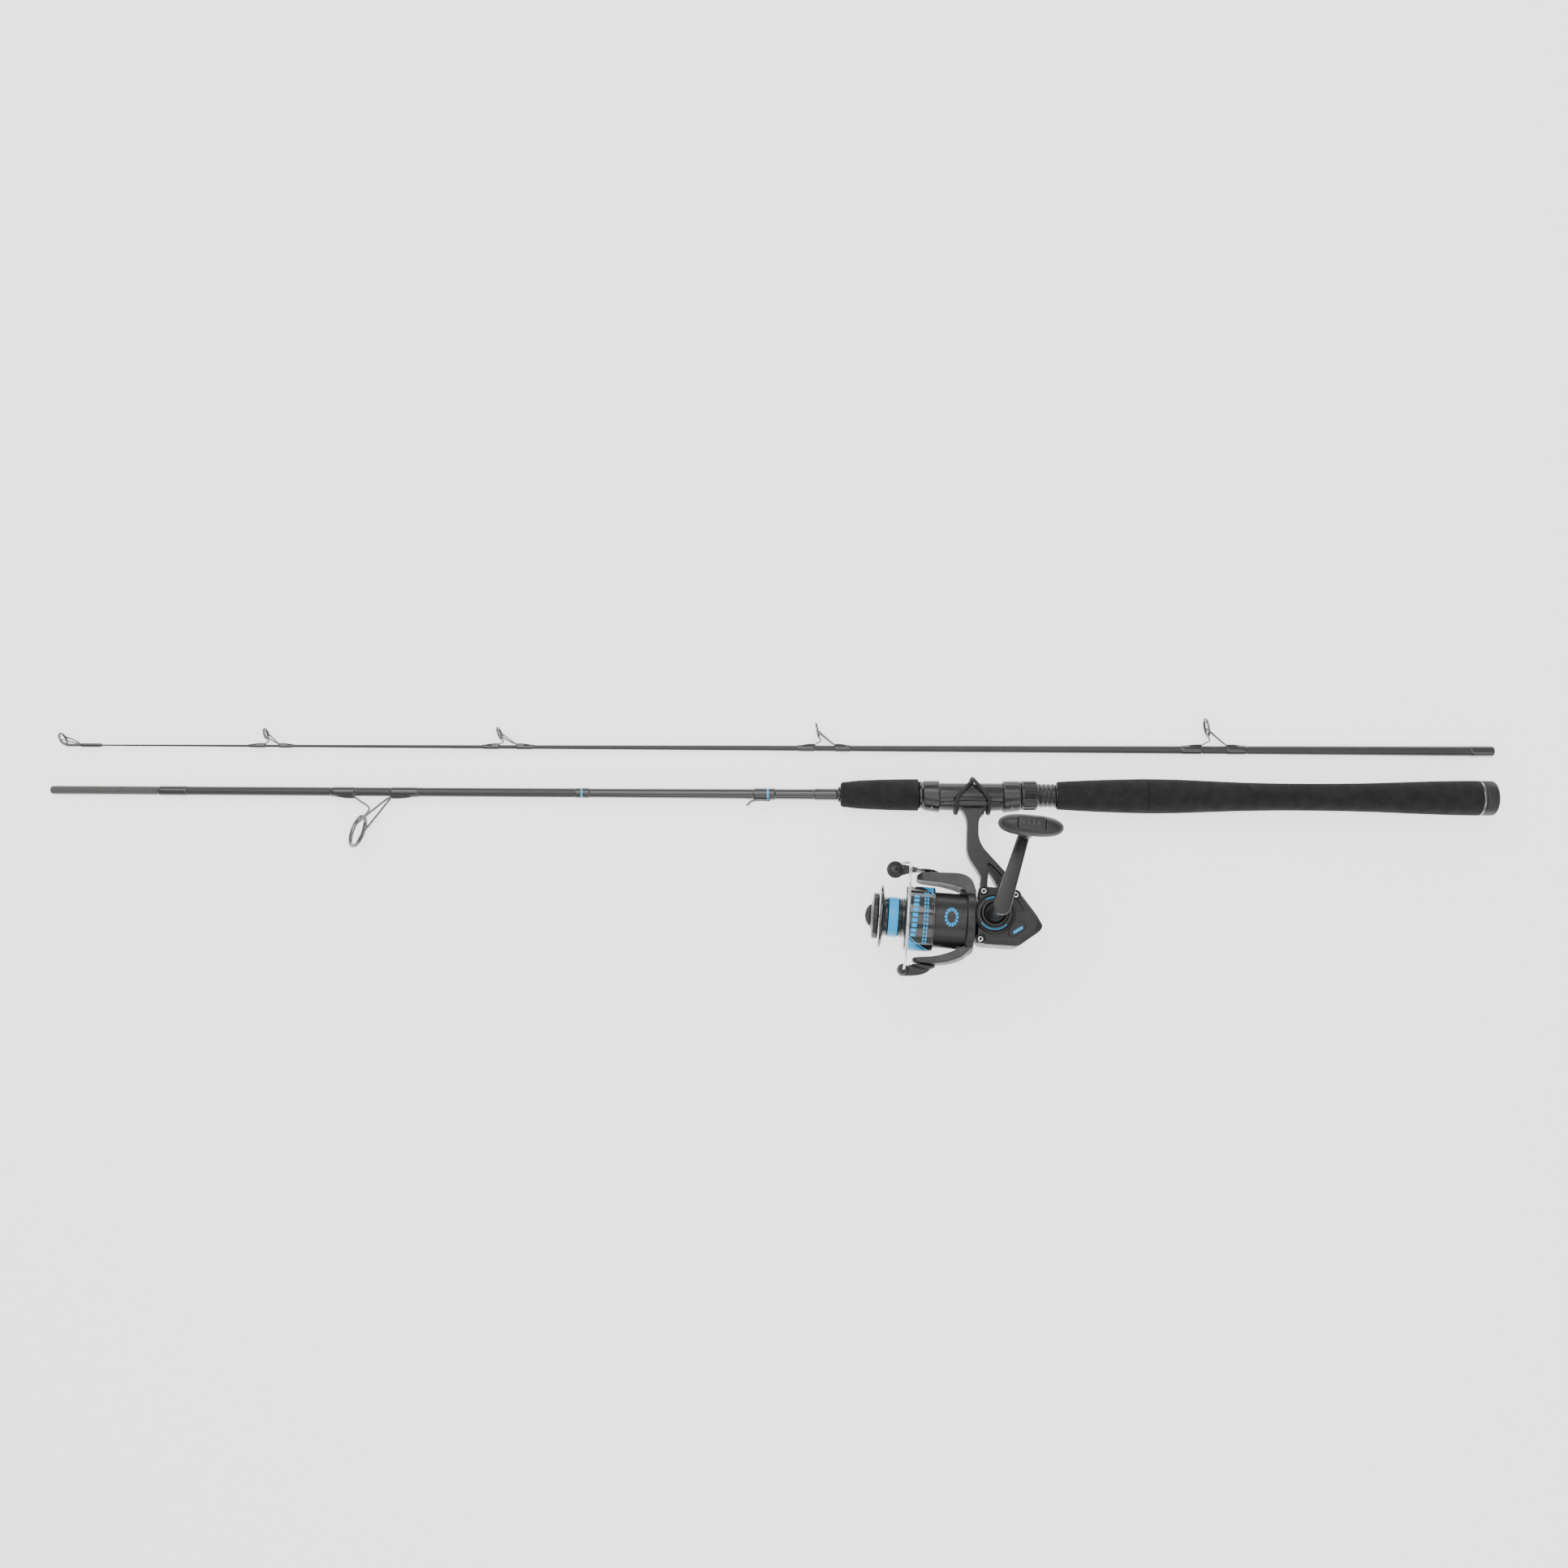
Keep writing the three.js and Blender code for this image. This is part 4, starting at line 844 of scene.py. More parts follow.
def nut_form(station, angle):
    """Panels of fine axial ribs sunk between plain bars."""
    if not 44.1 < station < 54.1:
        return 1.0
    turn = (angle / FULL_TURN * NUT_PANELS) % 1
    first, last = PANEL_SHARE
    if not first < turn < last:
        return 1.0
    ribs = 0.5 - 0.5 * math.cos(FULL_TURN * (turn - first) / (last - first) * PANEL_RIBS)
    return 1 - (0.75 - 0.55 * ribs) / NUT_R


nut = [(42.0, 11.0), (42.0, 12.2), (42.8, NUT_R)]
nut += [(s, NUT_R) for s in (43.7, 44.05, 44.15, 44.5, 47, 50, 53.7, 54.05, 54.15, 54.5)]
nut += [(55.3, NUT_R - 0.2), (56.2, 11.9), (56.2, 11.0), (42.0, 11.0)]
piece("lock_nut_ribbed", revolve(nut, sides=360, radius=0.15, shape=nut_form), BUTT, "lock_nut", SEAT,
      "lock_nut", sharp=40)

# The rubber tie goes twice round the seat, under the foot on each side of the stem.
TIE_THICK, TIE_WIDE = 1.25, 1.75
TIE_FRONT, TIE_BACK = -14.6, 13.6
loop = []
for turn in np.linspace(0, 2 * FULL_TURN, 180, endpoint=False):
    side = TIE_FRONT if turn < FULL_TURN else TIE_BACK
    angle = turn % FULL_TURN
    under = (1 - math.cos(angle)) / 2
    lift = 2.8 * math.exp(-((turn - FULL_TURN) / 0.7) ** 2)
    r = BARREL_R + 1.6 + 4.1 * under ** 2.5 + lift
    loop.append((side * min(1, 1.35 * under), r * math.cos(angle), r * math.sin(angle)))
loop = smooth_path(loop[::3], 6, closed=True)
shell = sweep(loop, TIE_WIDE, 20, closed=True, flat=TIE_THICK / TIE_WIDE,
              outward=lambda p: np.array((0.0, p[1], p[2])))
piece("reel_tie_band", shell, BUTT, "butt_section", RUBBER, "reel_tie")


# ---------------------------------------------------------------- reel body

HANDLE_Y = 6
HANDLE_AT = (0, HANDLE_Y, 0)
GEAR_AT = (20.1, HANDLE_Y, 0)
HOUSING = [(-14, 27.5), (-11.5, 29), (19, 29), (35.8, 8.6), (41.8, -1), (39.5, -5.5), (21.6, -19.9),
           (-11, -20.1), (-14, -17.6)]
COVER_FACE = [(-13.2, 26.4), (-11.2, 28), (18.2, 28), (33.2, 7.6), (37.2, -1.2), (35.2, -4.6),
              (20.8, -15.6), (-11.4, -15.4), (-13.2, -13.8)]
HOUSING_CENTRE = np.array([10.0, 4.0])
COVER_LOW, COVER_HIGH = 13.1, 18.6


def quadratic(a, b, c, count=8):
    """Curve from a to c that b pulls towards itself."""
    a, b, c = (np.array(p, float) for p in (a, b, c))
    return [tuple((1 - t) ** 2 * a + 2 * t * (1 - t) * b + t * t * c)
            for t in np.linspace(0, 1, count + 1)]


def arc(x, y, r, a0, a1, count=14):
    """Points of an arc about (x, y)."""
    return [(x + r * math.cos(a), y + r * math.sin(a)) for a in np.linspace(a0, a1, count)]


def soft_outline(points, radius, steps=5):
    """A closed outline with its corners rounded."""
    return [tuple(p) for p in fillet(points, radius, steps, closed=True, every=True)[:-1]]


def housing_ring(z, scale, wall=0.0, corners=None):
    """The housing's outline at a height, scaled about its centre and drawn in by a wall."""
    ring = []
    for corner in corners or HOUSING:
        away = np.array(corner) - HOUSING_CENTRE
        ring.append(HOUSING_CENTRE + away * scale * (1 - wall / np.linalg.norm(away)))
    return [(x, y, z) for x, y in soft_outline(ring, 3.2)]


def in_butt(shell):
    """A reel-frame shell drawn in the butt section's frame."""
    points = shell[0] @ REEL[:, :3].T + REEL[:, 3] - BUTT[:, 3]
    return points @ np.linalg.inv(BUTT[:, :3]).T, shell[1]


STEM = [(-31, 99), *quadratic((-27.5, 93), (-25.6, 89), (-25.4, 84)),
        *quadratic((-24.9, 65), (-24, 58), (-20.9, 53.4)), (-11.6, 40.5), (-12, 24), (18.5, 24),
        (17.5, 33), (9.2, 45.6), *quadratic((-8.6, 63.2), (-14.6, 70), (-15.2, 78)),
        *quadratic((-15.5, 88), (-14.5, 93), (-10, 101))]
# The window goes right through the stem, the slot is a groove on each side.
WINDOW = [(-5.2, 45.4), (-5.6, 31.3), (3.6, 31.3)]
SLOT = [(-6.2, 52.2), (-2.6, 50.6), (6.6, 42.0), (6.0, 39.4), (3.4, 40.6), (-5.6, 49.4)]


def beam(outline, half, bevel):
    """Plate with its long edges bevelled off."""
    return bevelled(slab(outline, -half, half), bevel, 3, 50)


stem = beam(soft_outline(STEM, 1.5, 3), 5.6, 1.8)
groove = soft_outline(SLOT, 0.9, 3)
stem = cut(stem, slab(soft_outline(WINDOW, 1.2, 4), -12, 12), slab(groove, 2.6, 12), slab(groove, -12, -2.6))
walls = shell_of_rings([housing_ring(-19.5, 0.79), housing_ring(-18.9, 0.85), housing_ring(-16.8, 0.9),
                        housing_ring(-12, 0.95), housing_ring(COVER_LOW - 0.3, 1)])
hollow = shell_of_rings([housing_ring(-17.3, 0.84, 2.6), housing_ring(-12, 0.95, 2.6),
                         housing_ring(COVER_LOW + 1, 1, 2.6)])
flange = revolve([(-20, 0), (-20, 12.9), (-11.4, 12.9), (-11.4, 0)], sides=96, radius=0.8)
far_boss = revolve([(-29.6, 0), (-29.6, 9.2), (-23.5, 9.8), (-22.5, 13), (-17.5, 13.5), (-17.5, 0)],
                   "z", 96, HANDLE_AT, 1.0)
bearing_seat = revolve([(-18.5, 7.3), (-18.5, 9), (-13, 9), (-13, 7.3), (-18.5, 7.3)], "z", 72,
                       HANDLE_AT, 0.2)
gear_post = disc(-18.5, -13.2, 3.2, "z", 48, GEAR_AT)
body = united(cut(united(walls, flange), hollow), far_boss, bearing_seat, gear_post)
axle_hole, bearing_hole = disc(-60, 10, 3.5, "z", 48, HANDLE_AT), disc(-17.3, 10, 7.3, "z", 64, HANDLE_AT)
body = cut(body, axle_hole, bearing_hole, disc(-17, 0, 1.8, "z", 32, GEAR_AT), disc(-30, -15, 7.8),
           disc(-30, 0, 4.6))
foot_block = slab([(-28.5, 94.5), (-28.5, 99.6), (-10.5, 100.8), (-11.5, 94.5)], -5.2, 5.2)
body = in_butt(united(body, stem, foot_block))
body = cut(body, disc(-60, 60, BARREL_R + 0.3, sides=144))
body = united(body, foot_saddle(0))
piece("reel_body_casting", moulded(body, 0.42, 5, 0.6), BUTT, "butt_section", GRAPHITE, "reel_body")

cover = shell_of_rings([housing_ring(COVER_LOW, 1), housing_ring(15.9, 1),
                        housing_ring(16.3, 0.992), housing_ring(18.3, 1, corners=COVER_FACE),
                        housing_ring(COVER_HIGH, 0.985, corners=COVER_FACE)])
boss = revolve([(COVER_LOW + 1, 0), (COVER_LOW + 1, 17.4), (20.3, 17.4), (21.4, 16.7), (21.5, 15.9),
                (20.7, 15.2), (20.7, 12.1), (21.6, 11.4), (22.9, 11.2), (23.4, 10.5), (23.4, 9.3),
                (22.2, 8.3), (22.2, 0)], "z", 120, HANDLE_AT, 0.35)
PANEL = [(17.6, 21.6), (10, 21.2), (9.2, 8.6), (24.4, 9.6), (24.8, 11.2)]
BADGE = [(14.6, 0.6), (24.6, 1.3), (27.2, -1.2), (26.4, -5.2), (17.4, -12.4), (14, -12.6),
         (12.4, -10.6)]
SCREWS = [(-9.6, 24.6), (17.4, 23.4), (-10.6, -16.4)]
tools = [slab(soft_outline(PANEL, 1.0, 4), 18.0, 30), slab(soft_outline(BADGE, 1.6, 4), 17.9, 30),
         disc(0, 18.4, 7.3, "z", 64, HANDLE_AT), disc(0, 40, 4.2, "z", 48, HANDLE_AT)]
for x, y in SCREWS:
    tools += [disc(0, 40, 1.6, "z", 32, (x, y, 0)), disc(17.1, 40, 3.4, "z", 48, (x, y, 0))]
pads = [revolve([(14, 0), (14, 4.6), (18.4, 4.6), (19.0, 4.2), (19.0, 0)], "z", 64, (x, y, 0), 0.2)
        for x, y in SCREWS]
inside = slab(soft_outline(HOUSING, 3.2), 12, 30)
shell = cut(united(cover, *[common(pad, inside) for pad in pads]), *tools[:2])
shell = cut(united(shell, boss), *tools[2:])
piece("side_cover_casting", moulded(shell, 0.28, 3, 0.5), REEL, "butt_section", GRAPHITE, "side_cover")
along, across = np.array((0.83, 0.56)) * 4.7, np.array((-0.3, 0.95)) * 1.3
centre = np.array((20.6, -6.4))
plaque = slab(soft_outline([centre + along + across, centre - along + across, centre - along - across,
                            centre + along - across], 0.6, 4), 17.6, 18.3)
piece("badge_plaque", bevelled(plaque, 0.15), REEL, "butt_section", SPOOL_BLUE)
# A dash of the ring round the axle, as (radius, half width) corners.
DASH = ((12.9, -0.45), (14.2, -0.55), (14.2, 0.55), (12.9, 0.45))
dashes = []
for first, last, count in ((-138, -42, 15), (96, 122, 5)):
    for turn in np.radians(np.linspace(first, last, count)):
        out = np.array((math.cos(turn), math.sin(turn)))
        wide = np.array((-math.sin(turn), math.cos(turn)))
        dashes.append(slab([out * r + wide * w + (0, HANDLE_Y) for r, w in DASH], 20.5, 20.78))
piece("cover_dashes", joined(*dashes), REEL, "butt_section", SPOOL_BLUE)

for i, (x, y) in enumerate(SCREWS, 1):
    head = revolve([(13.6, 0), (13.6, 1.2), (17.4, 1.2), (17.4, 2.5), (19.0, 2.55), (19.5, 2.1), (19.5, 0)],
                   "z", 48, (x, y, 0), 0.25)
    socket_shade = disc(18.2, 30, 1.35, "z", 6, (x, y, 0))
    piece(f"cover_screw_{i}_head", bevelled(cut(head, socket_shade), 0.08, 2, 50), REEL, "butt_section", STEEL,
          f"cover_screw_{i}", sharp=35)
    # A dark disc laid in the bottom of each hex socket: painted shade in the recess.
    socket_shade = disc(18.25, 18.75, 1.3, "z", 6, (x, y, 0))
    piece(f"cover_screw_{i}_socket", socket_shade, REEL, "butt_section", RUBBER)


# ---------------------------------------------------------------- handle

CRANK_LOW, CRANK_HIGH = np.array((0.9, 3.6)), np.array((16.3, 65.2))
KNOB_AT, KNOB_Z = (17.2, 65.2), 100
KNOB_TURN = math.radians(-1.5)
ARM_LOW, ARM_HIGH = 63, 70.4
ARM_ROOT_R, ARM_END_R = 6.9, 4.75


def toothed(teeth, root, tip):
    """Involute-like tooth outline."""
    points = []
    for i in range(teeth):
        for share, r in ((-0.34, root), (-0.2, (root + tip) / 2), (-0.1, tip), (0.1, tip),
                         (0.2, (root + tip) / 2), (0.34, root)):
            a = FULL_TURN * (i + share) / teeth
            points.append((r * math.cos(a), r * math.sin(a)))
    return points


axle = revolve([(-28, 0), (-28, 3.2), (23.8, 3.2), (23.8, 7.4), (26.6, 7.4), (27.4, 6.7), (31, 6.6),
                (50, 5.7), (62.6, 5.7), (62.6, 0)], "z", 96, radius=0.5)
gear = slab(toothed(22, 8.2, 9.2), -12, -9.8)
piece("handle_axle_turned", moved(joined(axle, gear), y=HANDLE_Y), REEL, "handle", GRAPHITE, "handle_axle",
      sharp=50)
cap = revolve([(-40.8, 0), (-40.8, 6.6), (-39.2, 8.2), (-31, 8.2), (-29.9, 7.6), (-29.9, 0)], "z", 96,
              HANDLE_AT, 0.6, shape=knurled(24, 0.03, -38.6, -31.4))
piece("handle_cap_knurled", cap, REEL, "butt_section", GRAPHITE, "handle_cap")

reach = CRANK_HIGH - CRANK_LOW
length, lean = np.linalg.norm(reach), -math.atan2(*reach)
arm = arc(0, 0, ARM_ROOT_R, math.pi, FULL_TURN, 28) + arc(0, length, ARM_END_R, 0, math.pi, 24)
shell = moved(bevelled(slab(arm, ARM_LOW, ARM_HIGH), 1.9, 5, 50), *CRANK_LOW, turn_z=lean)
piece("handle_arm_forged", cut(shell, disc(50, 80, 2.3, "z", 40, (*KNOB_AT, 0))), REEL, "handle", GRAPHITE,
      "handle_arm", sharp=60)

rings = []
for t in np.linspace(-math.pi / 2, math.pi / 2, 40):
    s = math.sin(t)
    swell = max(0.02, (1 - abs(s) ** 3.2) ** 0.5)
    rings.append([(26.5 * s, 8.6 * swell * math.cos(a), 9.5 * swell * math.sin(a))
                  for a in around(64)])
neck = revolve([(-26.7, 0), (-26.7, 5.5), (-25, 5.9), (-18, 6.0), (-9, 7.2), (-4, 8.2), (-4, 0)], "z", 72)
plate_edge = [(-11.3, -4.2), (-9.6, -5.8), (9.6, -5.8), (11.3, -4.2), (11.3, 4.2), (9.6, 5.8),
              (-9.6, 5.8), (-11.3, 4.2)]
shell = united(shell_of_rings(rings), neck)
shell = cut(shell, disc(-40, 1, 2.4, "z", 40), slab(soft_outline(plate_edge, 1.0), 7.4, 24))
piece("handle_knob_rubber", moved(moulded(shell, 0.4, 4, 0.6), *KNOB_AT, KNOB_Z, KNOB_TURN), REEL, "knob",
      KNOB_RUBBER, "handle_knob")
plate_edge = [(x * 0.965, y * 0.94) for x, y in plate_edge]
plate = bevelled(slab(soft_outline(plate_edge, 1.0), 7.7, 9.1), 0.35, 3)
bars = [slab([(x - 1.5, -2.2), (x + 1.5, -2.2), (x + 1.5, 2.2), (x - 1.5, 2.2)], 8.6, 9.4)
        for x in (-6, -2, 2, 6)]
shell = united(plate, *[bevelled(bar, 0.2) for bar in bars])
piece("knob_badge_plate", moved(shell, *KNOB_AT, KNOB_Z, KNOB_TURN), REEL, "knob", KNOB_RUBBER, "knob_badge",
      sharp=40)


# ---------------------------------------------------------------- rotor and bail

BAIL_X = -57
ROLLER_AT = (-85, 40.4, 0)
LUG_AT = (-73.4, -44.8, 0)         # where the bail wire ends in the lever
ROTOR_FRONT, ROTOR_BACK = -22.8, -15.6
CUP_R = 23.7


def rotor_arm(side, outer, inner, plan):
    """Band of a ring round the spool axis, trimmed to the arm's plan, with a web at its root."""
    ring = revolve(spline(outer, 6) + [(ROTOR_BACK, 25.2), (ROTOR_FRONT, 25.2)] + spline(inner, 5),
                   sides=192, radius=0)
    low, high = (10, 50) if side > 0 else (-50, -10)
    sides = plan + [(x, -z) for x, z in reversed(plan)]
    arm = common(ring, slab(soft_outline(sides, 3.0), low, high, axis="y"))
    low, high = (CUP_R - 1, 27) if side > 0 else (-28.5, 1 - CUP_R)
    return united(arm, slab([(-28.7, -8), (-19, -8), (-19, 8), (-28.7, 8)], low, high, axis="y"))


cup = revolve([(-53.5, 22.3), (-53.5, CUP_R), (ROTOR_FRONT - 0.2, CUP_R), (ROTOR_FRONT, 26.4),
               (ROTOR_FRONT + 0.6, 27), (ROTOR_BACK - 0.8, 27), (ROTOR_BACK, 26.2), (ROTOR_BACK, 25),
               (-18.2, 24.7), (-18.2, 14.6), (-24, 14.6), (-26, 22.3), (-33.5, 22.3), (-33.5, 5.6),
               (-28, 5.6), (-28, 3.9), (-44, 3.9), (-44, 6.5), (-38, 7.5), (-36.5, 22.3), (-53.5, 22.3)],
              sides=192, radius=0.4)
upper = rotor_arm(1, [(-66.5, 37.1), (-62, 39.9), (-46, 41.1), (-27, 41.1), (-20, 37.5),
                      (ROTOR_BACK, 29.1)],
                  [(-24.8, 28.2), (-28.6, 30.3), (-35, 31.6), (-46, 32.7), (-66.5, 33.2)],
                  [(-66.2, 6), (-62, 9.5), (-46, 11), (-26, 13.5), (-13, 16)])
lower = rotor_arm(-1, [(-66.5, 36.6), (-64, 38.1), (-48, 39), (-34, 36.8), (-24.5, 33), (-18.6, 28.4),
                       (ROTOR_BACK, 26)],
                  [(-27.5, 26.5), (-34, 29.4), (-48, 33), (-66.5, 34.7)],
                  [(-66.2, 4.5), (-62, 7), (-46, 8.5), (-26, 12), (-13, 16)])
shell = united(cup, upper, lower)
for low, high, r in ((36.6, 60, 2.1), (37.4, 60, 5), (-60, -33.5, 2.1)):
    shell = cut(shell, disc(low, high, r, "y", 48, (BAIL_X, 0, 0)))
piece("rotor_casting", moulded(shell, 0.3, 7, 0.5), REEL, "rotor", GRAPHITE, "rotor")


def oval_loft(stations, sides=48):
    """Skin through ellipses (x, y, z, half_y, half_z), with a smooth run between them."""
    path = smooth_path([s[:3] for s in stations], 5)
    halves = smooth_path([(s[3], s[4], 0) for s in stations], 5)
    return shell_of_rings([[(p[0], p[1] + h[0] * math.cos(a), p[2] + h[1] * math.sin(a))
                            for a in around(sides)]
                           for p, h in zip(path, halves)])


pin = disc(37, 43, 1.7, "y", 40, (BAIL_X, 0, 0))
cheek = oval_loft([(-66.8, 41.4, 0, 0.5, 4.2), (-66.2, 41.4, 0, 1.4, 5.4), (-63.5, 41.4, 0, 2.1, 6.6),
                   (-58, 41.4, 0, 2.6, 7.5), (-52.5, 41.4, 0, 2.2, 6.6), (-49, 41.4, 0, 1.2, 4.4),
                   (-47.6, 41.4, 0, 0.4, 2.4)])
cheek = common(cheek, slab([(-70, 41.35), (-40, 41.35), (-40, 50), (-70, 50)], -12, 12))
blade = slab([(-62, 41.8), (-62, 43.6), (-66, 45.0), (-72, 46.2),
              *quadratic((-75, 46.6), (-80, 47.4), (-86, 45.9)),
              *arc(*ROLLER_AT[:2], 5.3, math.pi * 0.6, math.pi * 1.45), (-76, 38.4), (-70, 40.6)],
             -6.4, -1.6)
spindle = disc(-4, 7, 1.5, "z", 40, ROLLER_AT)
shell = moulded(united(cheek, bevelled(blade, 0.6, 2, 40), pin, spindle), 0.25, 3, 0.6)
piece("bail_arm_casting", shell, REEL, "bail", GRAPHITE, "bail_arm")

roller = revolve([(-2.6, 1.8), (-2.6, 4.9), (-1.6, 4.7), (0.3, 3.9), (2.2, 4.7), (3.2, 4.9), (3.2, 1.8),
                  (-2.6, 1.8)], "z", 72, ROLLER_AT, 0.4)
piece("line_roller_polished", roller, REEL, "line_roller", STEEL, "line_roller")
cap = revolve([(3.5, 1.8), (3.5, 6.8), (4.4, 7.4), (5.6, 7.4), (6.5, 6.6), (6.9, 5.2), (7.1, 4.8),
               (7.8, 3.4), (8.2, 1.4), (8.9, 1.0), (9.2, 0), (7.3, 0), (7.3, 1.8), (3.5, 1.8)], "z", 96,
              ROLLER_AT, 0.3)
piece("roller_cap_turned", cap, REEL, "bail", GRAPHITE, "roller_cap", sharp=60)

pin = disc(-41.6, -34, 1.7, "y", 40, (BAIL_X, 0, 0))
cheek = oval_loft([(-66, -40.2, 0, 1.6, 3.6), (-62, -40.4, 0, 2.4, 5.0), (-56, -40.6, 0, 2.9, 5.6),
                   (-50, -40.4, 0, 2.4, 4.6), (-46.2, -39.9, 0, 1.0, 2)])
cheek = common(cheek, slab([(-70, -39.3), (-40, -39.3), (-40, -50), (-70, -50)], -12, 12))
lever = slab([(-60, -40), (-68.6, -40), *arc(*LUG_AT[:2], 5.2, math.pi * 0.2, math.pi * 1.5), (-66, -49.4),
              *quadratic((-62, -48.8), (-53, -47), (-50, -42.5))], -3, 2.2)
lug = revolve([(2, 0), (2, 4.6), (5.4, 4.4), (6, 3.8), (6, 0)], "z", 64, LUG_AT, 0.3)
shell = moulded(united(cheek, bevelled(lever, 0.7, 2, 40), pin, lug), 0.25, 3, 0.6)
piece("bail_lever_casting", shell, REEL, "bail", GRAPHITE, "bail_lever")

hoop = [(-79.6, 46.0, 8.1), (-76, 46.6, 8.6), (-72.8, 46.2, 11.5)]
for degrees in range(24, 157, 12):
    t = math.radians(degrees)
    hoop.append((-72.2 - 1.9 * math.sin(t), 46.4 * math.cos(t), 54 * math.sin(t)))
hoop += [(-73.3, -45.2, 14), (-73.4, -44.8, 10), (-73.4, -44.8, 6.1)]
wire = sweep(smooth_path(hoop, 8), 1.12, 24)
piece("bail_wire_polished", wire, REEL, "bail", STEEL, "bail_wire", sharp=60)


# ---------------------------------------------------------------- spool

LIP_R, SKIRT_R, SKIRT_END = 27.2, 27.5, -49.9
spool = [(-86, 1.9), (-86, 13), (-95.6, 13), (-95.6, 22), (-96.6, 25.4), (-96.2, LIP_R - 0.3),
         (-94.8, LIP_R), (-93.6, 25.8), (-93.0, 20), (-92.8, 18.4), (-92.0, 18.2), (-91.6, 16.6),
         (-90.6, 16.6), (-90.4, 17.0), (-89.6, 17.0), (-89.2, 15.8), (-80, 15.8), (-79.7, 17.0),
         (-79.0, 17.0),
         (-78.6, 16.5), (-77.9, 17.2), (-77.2, 16.5), (-76.4, 17.2), (-75.4, 17.4), (-75.0, 26.2),
         (-74.2, SKIRT_R - 0.2), (-73.2, SKIRT_R), (-51.9, SKIRT_R), (-51.6, SKIRT_R - 0.25),
         (-51.3, SKIRT_R), (SKIRT_END - 0.3, SKIRT_R), (SKIRT_END, 26.3), (-71.6, 26.3),
         (-72.4, 14.2), (-82, 13.4), (-82, 6), (-66, 6), (-66, 1.9), (-86, 1.9)]
piece("spool_anodised", revolve(spool, sides=180, radius=0.35), REEL, "spool", GLOSS, "spool",
      sharp=60)
band_shell = revolve([(-88.8, 16.1), (-88.8, 17.0), (-80.4, 17.0), (-80.4, 16.1), (-88.8, 16.1)], sides=144,
                     radius=0.3)
piece("line_band_blue", band_shell, REEL, "spool", SPOOL_BLUE, "line_band")


PRINT_HIGH, PRINT_DEEP = 0.035, 0.12


def skin_patch(corners, r=SKIRT_R):
    """Thin print on a cylinder round X: corners are (x, degrees from +Y) in order round the patch."""
    a, b, c, d = (np.array(q, float) for q in corners)
    def steps(*spans):
        return max(2, int(max(abs(span[1]) for span in spans) / 1.5))
    along, across = steps(b - a, c - d), steps(d - a, c - b)
    layers = []
    for height in (r + PRINT_HIGH, r - PRINT_DEEP):
        for i in range(along + 1):
            t = i / along
            left, right = a + (b - a) * t, d + (c - d) * t
            for j in range(across + 1):
                x, degrees = left + (right - left) * j / across
                turn = math.radians(degrees)
                layers.append((x, height * math.cos(turn), height * math.sin(turn)))
    row, layer = across + 1, (across + 1) * (along + 1)
    faces = []
    for i in range(along):
        for j in range(across):
            k = i * row + j
            faces.append((k, k + 1, k + row + 1, k + row))
            faces.append((layer + k, layer + k + row, layer + k + row + 1, layer + k + 1))
    rim = [*range(row), *[i * row + across for i in range(1, along + 1)],
           *[along * row + j for j in range(across - 1, -1, -1)],
           *[i * row for i in range(along - 1, 0, -1)]]
    for k, m in zip(rim, rim[1:] + rim[:1]):
        faces.append((k, layer + k, layer + m, m))
    return np.array(layers), faces


def block(x0, x1, start, span):
    """Rectangular print on the skirt."""
    return skin_patch([(x0, start), (x0, start + span), (x1, start + span), (x1, start)])


# The corner wedges with their pinstripes, a row of blocks for the large name, dashes for small lines.
patches = [
    skin_patch([(-51.9, -8), (-51.9, 42), (-67.0, -6), (-67.5, -8)]),
    skin_patch([(-51.9, 46), (-51.9, 51), (-69.3, -8), (-68.2, -8)]),
    skin_patch([(-72.2, 205), (-72.2, 136), (-53.6, 178), (-52.6, 205)]),
    skin_patch([(-72.2, 133.5), (-72.2, 130), (-52.0, 173), (-52.0, 176)]),
]
patches += [block(-68.3 - 0.24 * i, -63.6 - 0.24 * i, 53 + 9.2 * i, 6.6) for i in range(9)]
patches += [block(x, x + 1.3, start, 5.6) for x in (-59.6, -57.3) for start in np.arange(44, 150, 7.6)]
piece("skirt_prints", joined(*patches), REEL, "spool", SPOOL_BLUE)

# An oval ring of ticks on the cup: its centre (x, degrees), its stretch both ways, and one tick.
TICKS, TICK_X, TICK_DEGREES, TICK_STRETCH = 14, -36.2, 91, (0.86, 1.22)
TICK = ((4.2, -0.75), (6.8, -1.0), (6.8, 1.0), (4.2, 0.75))
ticks = []
for i in range(TICKS):
    turn = FULL_TURN * i / TICKS
    c, s = math.cos(turn), math.sin(turn)
    corners = []
    for out, side in TICK:
        u, v = out * c - side * s, out * s + side * c
        corners.append((TICK_X + u * TICK_STRETCH[0],
                        TICK_DEGREES + math.degrees(v * TICK_STRETCH[1] / CUP_R)))
    ticks.append(skin_patch(corners, CUP_R))
piece("cup_tick_ring", joined(*ticks), REEL, "rotor", SPOOL_BLUE)
clip = slab([(-50.4, -1.6), (-50.4, 1.6), (-53.2, 1.2), (-53.8, 0), (-53.2, -1.2)], SKIRT_R - 0.6,
            SKIRT_R + 0.5)
turn = math.radians(20)
turned_clip = clip[0] @ np.array([[1, 0, 0], [0, math.cos(turn), -math.sin(turn)],
                                  [0, math.sin(turn), math.cos(turn)]])
piece("line_clip", bevelled((turned_clip, clip[1]), 0.2), REEL, "spool", GLOSS)

